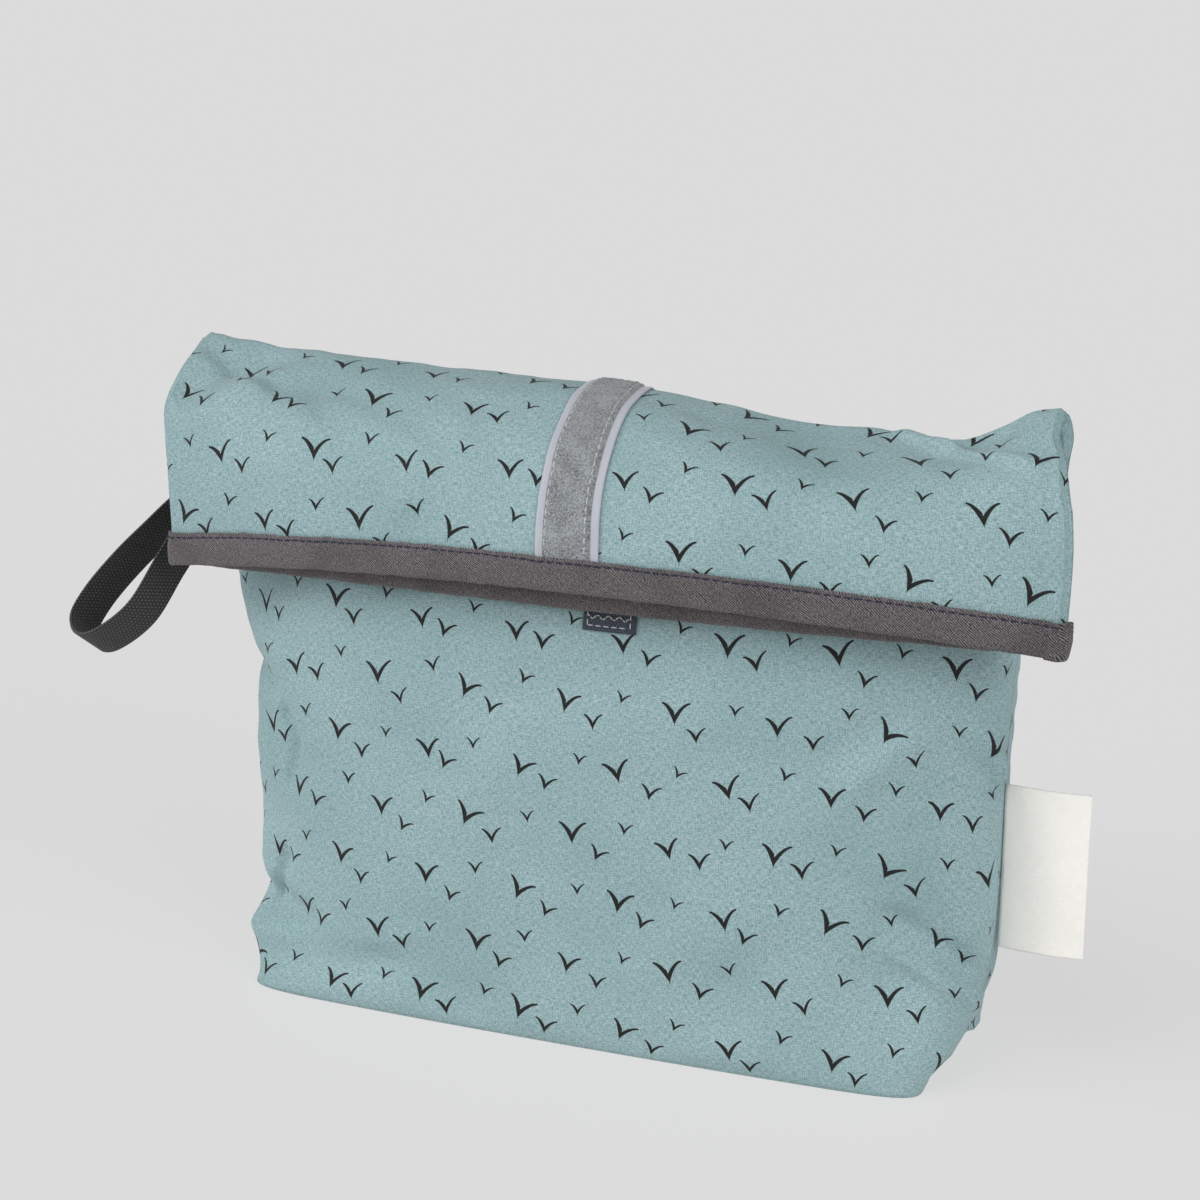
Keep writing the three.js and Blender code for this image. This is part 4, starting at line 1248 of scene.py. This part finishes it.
class WETBAG_OT_tab(bpy.types.Operator):
    """Makes the bare cotton tab, a ribbon folded in two and sewn into the right side seam"""

    bl_idname = "wetbag.tab"
    bl_label = "Side tab"
    STEPS = 46
    RISES = 90
    # How far the tab bows back, as shares of its reach, and where
    BEND = np.array([0, -0.035, -0.06, -0.035])
    BEND_AT = np.array([0, 0.25, 0.6, 1])
    LAYER = 0.22
    # The share of the reach over which the fold closes
    FOLD_SHARE = 0.025

    def execute(self, context):
        sewing = context.scene.bag_sewing
        reach, height, foot = sewing.tab_reach / MM, sewing.tab_height / MM, sewing.tab_foot / MM
        rise = np.linspace(0, 1, self.RISES)[:, None]
        seam = seam_at(foot + rise[:, 0] * height, 1)[:, None]
        share = np.sin(np.linspace(0, 1, self.STEPS) * np.pi / 2)
        curve = monotone(self.BEND)(np.interp(share, self.BEND_AT, np.arange(4)))
        bow = curve * reach + 0.5 * np.sin(rise * 5 + share * 2) * share
        bow = bow + 0.12 * ripple(rise * height, share * reach, 51, 9, 30) * share
        closing = np.clip((share - 1 + self.FOLD_SHARE) / self.FOLD_SHARE, 0, 1)
        thick = (0.27 + 0.25 * share**1.5) * np.sqrt(np.clip(1 - closing**2, 0.02, 1)) + 0 * rise
        x = share * reach + 0 * rise
        outer = self.folded(x, bow, thick) + seam
        within, thinner = np.minimum(x, reach - self.LAYER), np.maximum(thick - self.LAYER, 0.03)
        inner = self.folded(within, bow, thinner) + seam
        points, faces, _, _ = slab(outer, inner)
        along = np.concatenate([x, 2 * reach - x[:, ::-1]], 1)
        spots = np.stack(np.broadcast_arrays(along, rise * height, 0 * along), -1).reshape(-1, 3)
        piece = new_piece("tab", points, outward(points, faces), [cream_cotton(context.scene.bag_colours)],
                          "cream_cotton", "side_tab", np.tile(spots, (2, 1)))
        return {"FINISHED"}

    def folded(self, x, bow, thick):
        """A ribbon's points from the seam out along its front, round its fold and back to the seam behind."""
        front = np.stack([x, bow - thick, 0 * x], -1)
        back = np.stack([x, bow + thick, 0 * x], -1)[:, ::-1]
        return np.concatenate([front, back], 1)


class WETBAG_OT_stitches(bpy.types.Operator):
    """Makes the sewing: along the binding, the tapes and the flap's side seams"""

    bl_idname = "wetbag.stitches"
    bl_label = "Stitches"
    # The binding's stitches: distance above the mouth edge
    BINDING_LINE = 8.8
    # The loop tape's two lines of stitches, and the hook tape's, across from their middles
    LOOP_LINES = (-6.85, 5.85)
    HOOK_LINE = 7.2
    # The hook tape's zigzag: rows, the first row's height above the foot, steps between rows, and its wave
    ZIG_ROWS = 4
    ZIG_FOOT = 3.4
    ZIG_STEP = 2.7
    ZIG_WAVE = 3.6
    # Where the flap's side seams start, before the mouth
    FLAP_LENGTH = 112

    def execute(self, context):
        sewing, colours = context.scene.bag_sewing, context.scene.bag_colours
        front, back = panel("front", sewing.wrinkle), panel("back", sewing.wrinkle)
        stitch, gap, thread = sewing.stitch / MM, sewing.gap / MM, sewing.thread / MM
        u = np.linspace(-HALF_WIDTH + 1, HALF_WIDTH - 1, 900)
        slip = 0.1 * ripple(u, 0, 61, 8, 40, 12)
        lift = 1.08 + WETBAG_OT_binding.LAP * smooth((u - WETBAG_OT_binding.JOIN) / 0.3)
        over_tape = lift + tape_bump(u, back) * smooth((self.BINDING_LINE - 6) / 4)
        rows = [
            stitch_row(cloth, u, cloth.v[-1] - self.BINDING_LINE + slip, rise, stitch, gap)
            for cloth, rise in ((front, lift), (back, over_tape))
        ]
        thread_piece("binding_stitches", rows, thread, "navy_thread", colours.navy, "grey_twill")

        end = back.v[-1] - BINDING_WIDTH
        v = np.linspace(end - LOOP_TAPE_LENGTH + 3, end, 400)
        middle = loop_tape_middle(back, v)
        rows = [stitch_row(back, middle + over, v, FIT + 1.25, stitch, gap) for over in self.LOOP_LINES]
        thread_piece("tape_stitches", rows, thread * 0.9, "pale_thread", colours.pale, "silver_pile")

        foot = front.height_v(HOOK_TAPE_FOOT)
        middle = float(across_at(front, HOOK_TAPE_X, np.array([foot]))[0])
        v = np.linspace(foot + 1.6, foot + HOOK_TAPE_LENGTH - 2, 300)
        across = np.linspace(-self.HOOK_LINE, self.HOOK_LINE, 90) + middle
        lines = ((middle - self.HOOK_LINE, v), (middle + self.HOOK_LINE, v), (across, foot + 1.6))
        rows = [stitch_row(front, *line, FIT + 0.68, stitch * 0.8, gap) for line in lines]
        zig = np.abs((across - middle) % self.ZIG_WAVE - self.ZIG_WAVE / 2)
        for step in range(self.ZIG_ROWS):
            line = foot + self.ZIG_FOOT + step * self.ZIG_STEP + zig
            rows.append(stitch_row(front, across, line, FIT + 1.0, stitch * 0.55, gap * 0.3))
        thread_piece("hook_tape_stitches", rows, thread * 0.8, "grey_thread", colours.pale, "slate_hook")

        rows = []
        for cloth in (front, back):
            v = np.linspace(cloth.v[-1] - self.FLAP_LENGTH, cloth.v[-1] - BINDING_WIDTH - 1, 500)
            for side in (-1, 1):
                seam = side * (HALF_WIDTH - SEAM_STITCH) + 0 * v
                rows.append(stitch_row(cloth, seam, v, -0.28, stitch, gap))
        thread_piece("seam_stitches", rows, thread * 0.8, "teal_thread", colours.teal, "print_cloth")
        return {"FINISHED"}


class WETBAG_PT_sidebar(bpy.types.Panel):
    """Lists the bag's settings and the operators that make its pieces."""

    bl_idname = "WETBAG_PT_sidebar"
    bl_label = "Wet bag"
    bl_space_type = "VIEW_3D"
    bl_region_type = "UI"
    bl_category = "Wet bag"

    def draw(self, context):
        for group in (context.scene.bag_sewing, context.scene.bag_colours, context.scene.bag_stage):
            box = self.layout.box()
            for name in group.__annotations__:
                box.prop(group, name)
        for operator in OPERATORS:
            self.layout.operator(operator.bl_idname)


GROUPS = {"bag_colours": BagColours, "bag_sewing": BagSewing, "bag_stage": BagStage}
OPERATORS = (
    WETBAG_OT_stage, WETBAG_OT_cloth, WETBAG_OT_binding, WETBAG_OT_loop_tape, WETBAG_OT_hook_tape,
    WETBAG_OT_webbing, WETBAG_OT_tab, WETBAG_OT_stitches,
)


def register():
    for kind in (*GROUPS.values(), *OPERATORS, WETBAG_PT_sidebar):
        bpy.utils.register_class(kind)
    for name, group in GROUPS.items():
        setattr(bpy.types.Scene, name, bpy.props.PointerProperty(type=group))


def unregister():
    for name in GROUPS:
        delattr(bpy.types.Scene, name)
    for kind in (WETBAG_PT_sidebar, *reversed(OPERATORS), *GROUPS.values()):
        bpy.utils.unregister_class(kind)


def main():
    register()
    bpy.ops.wetbag.stage()
    bpy.ops.wetbag.cloth()
    bpy.ops.wetbag.binding()
    bpy.ops.wetbag.loop_tape()
    bpy.ops.wetbag.hook_tape()
    bpy.ops.wetbag.webbing()
    bpy.ops.wetbag.tab()
    bpy.ops.wetbag.stitches()


if __name__ == "__main__":
    main()
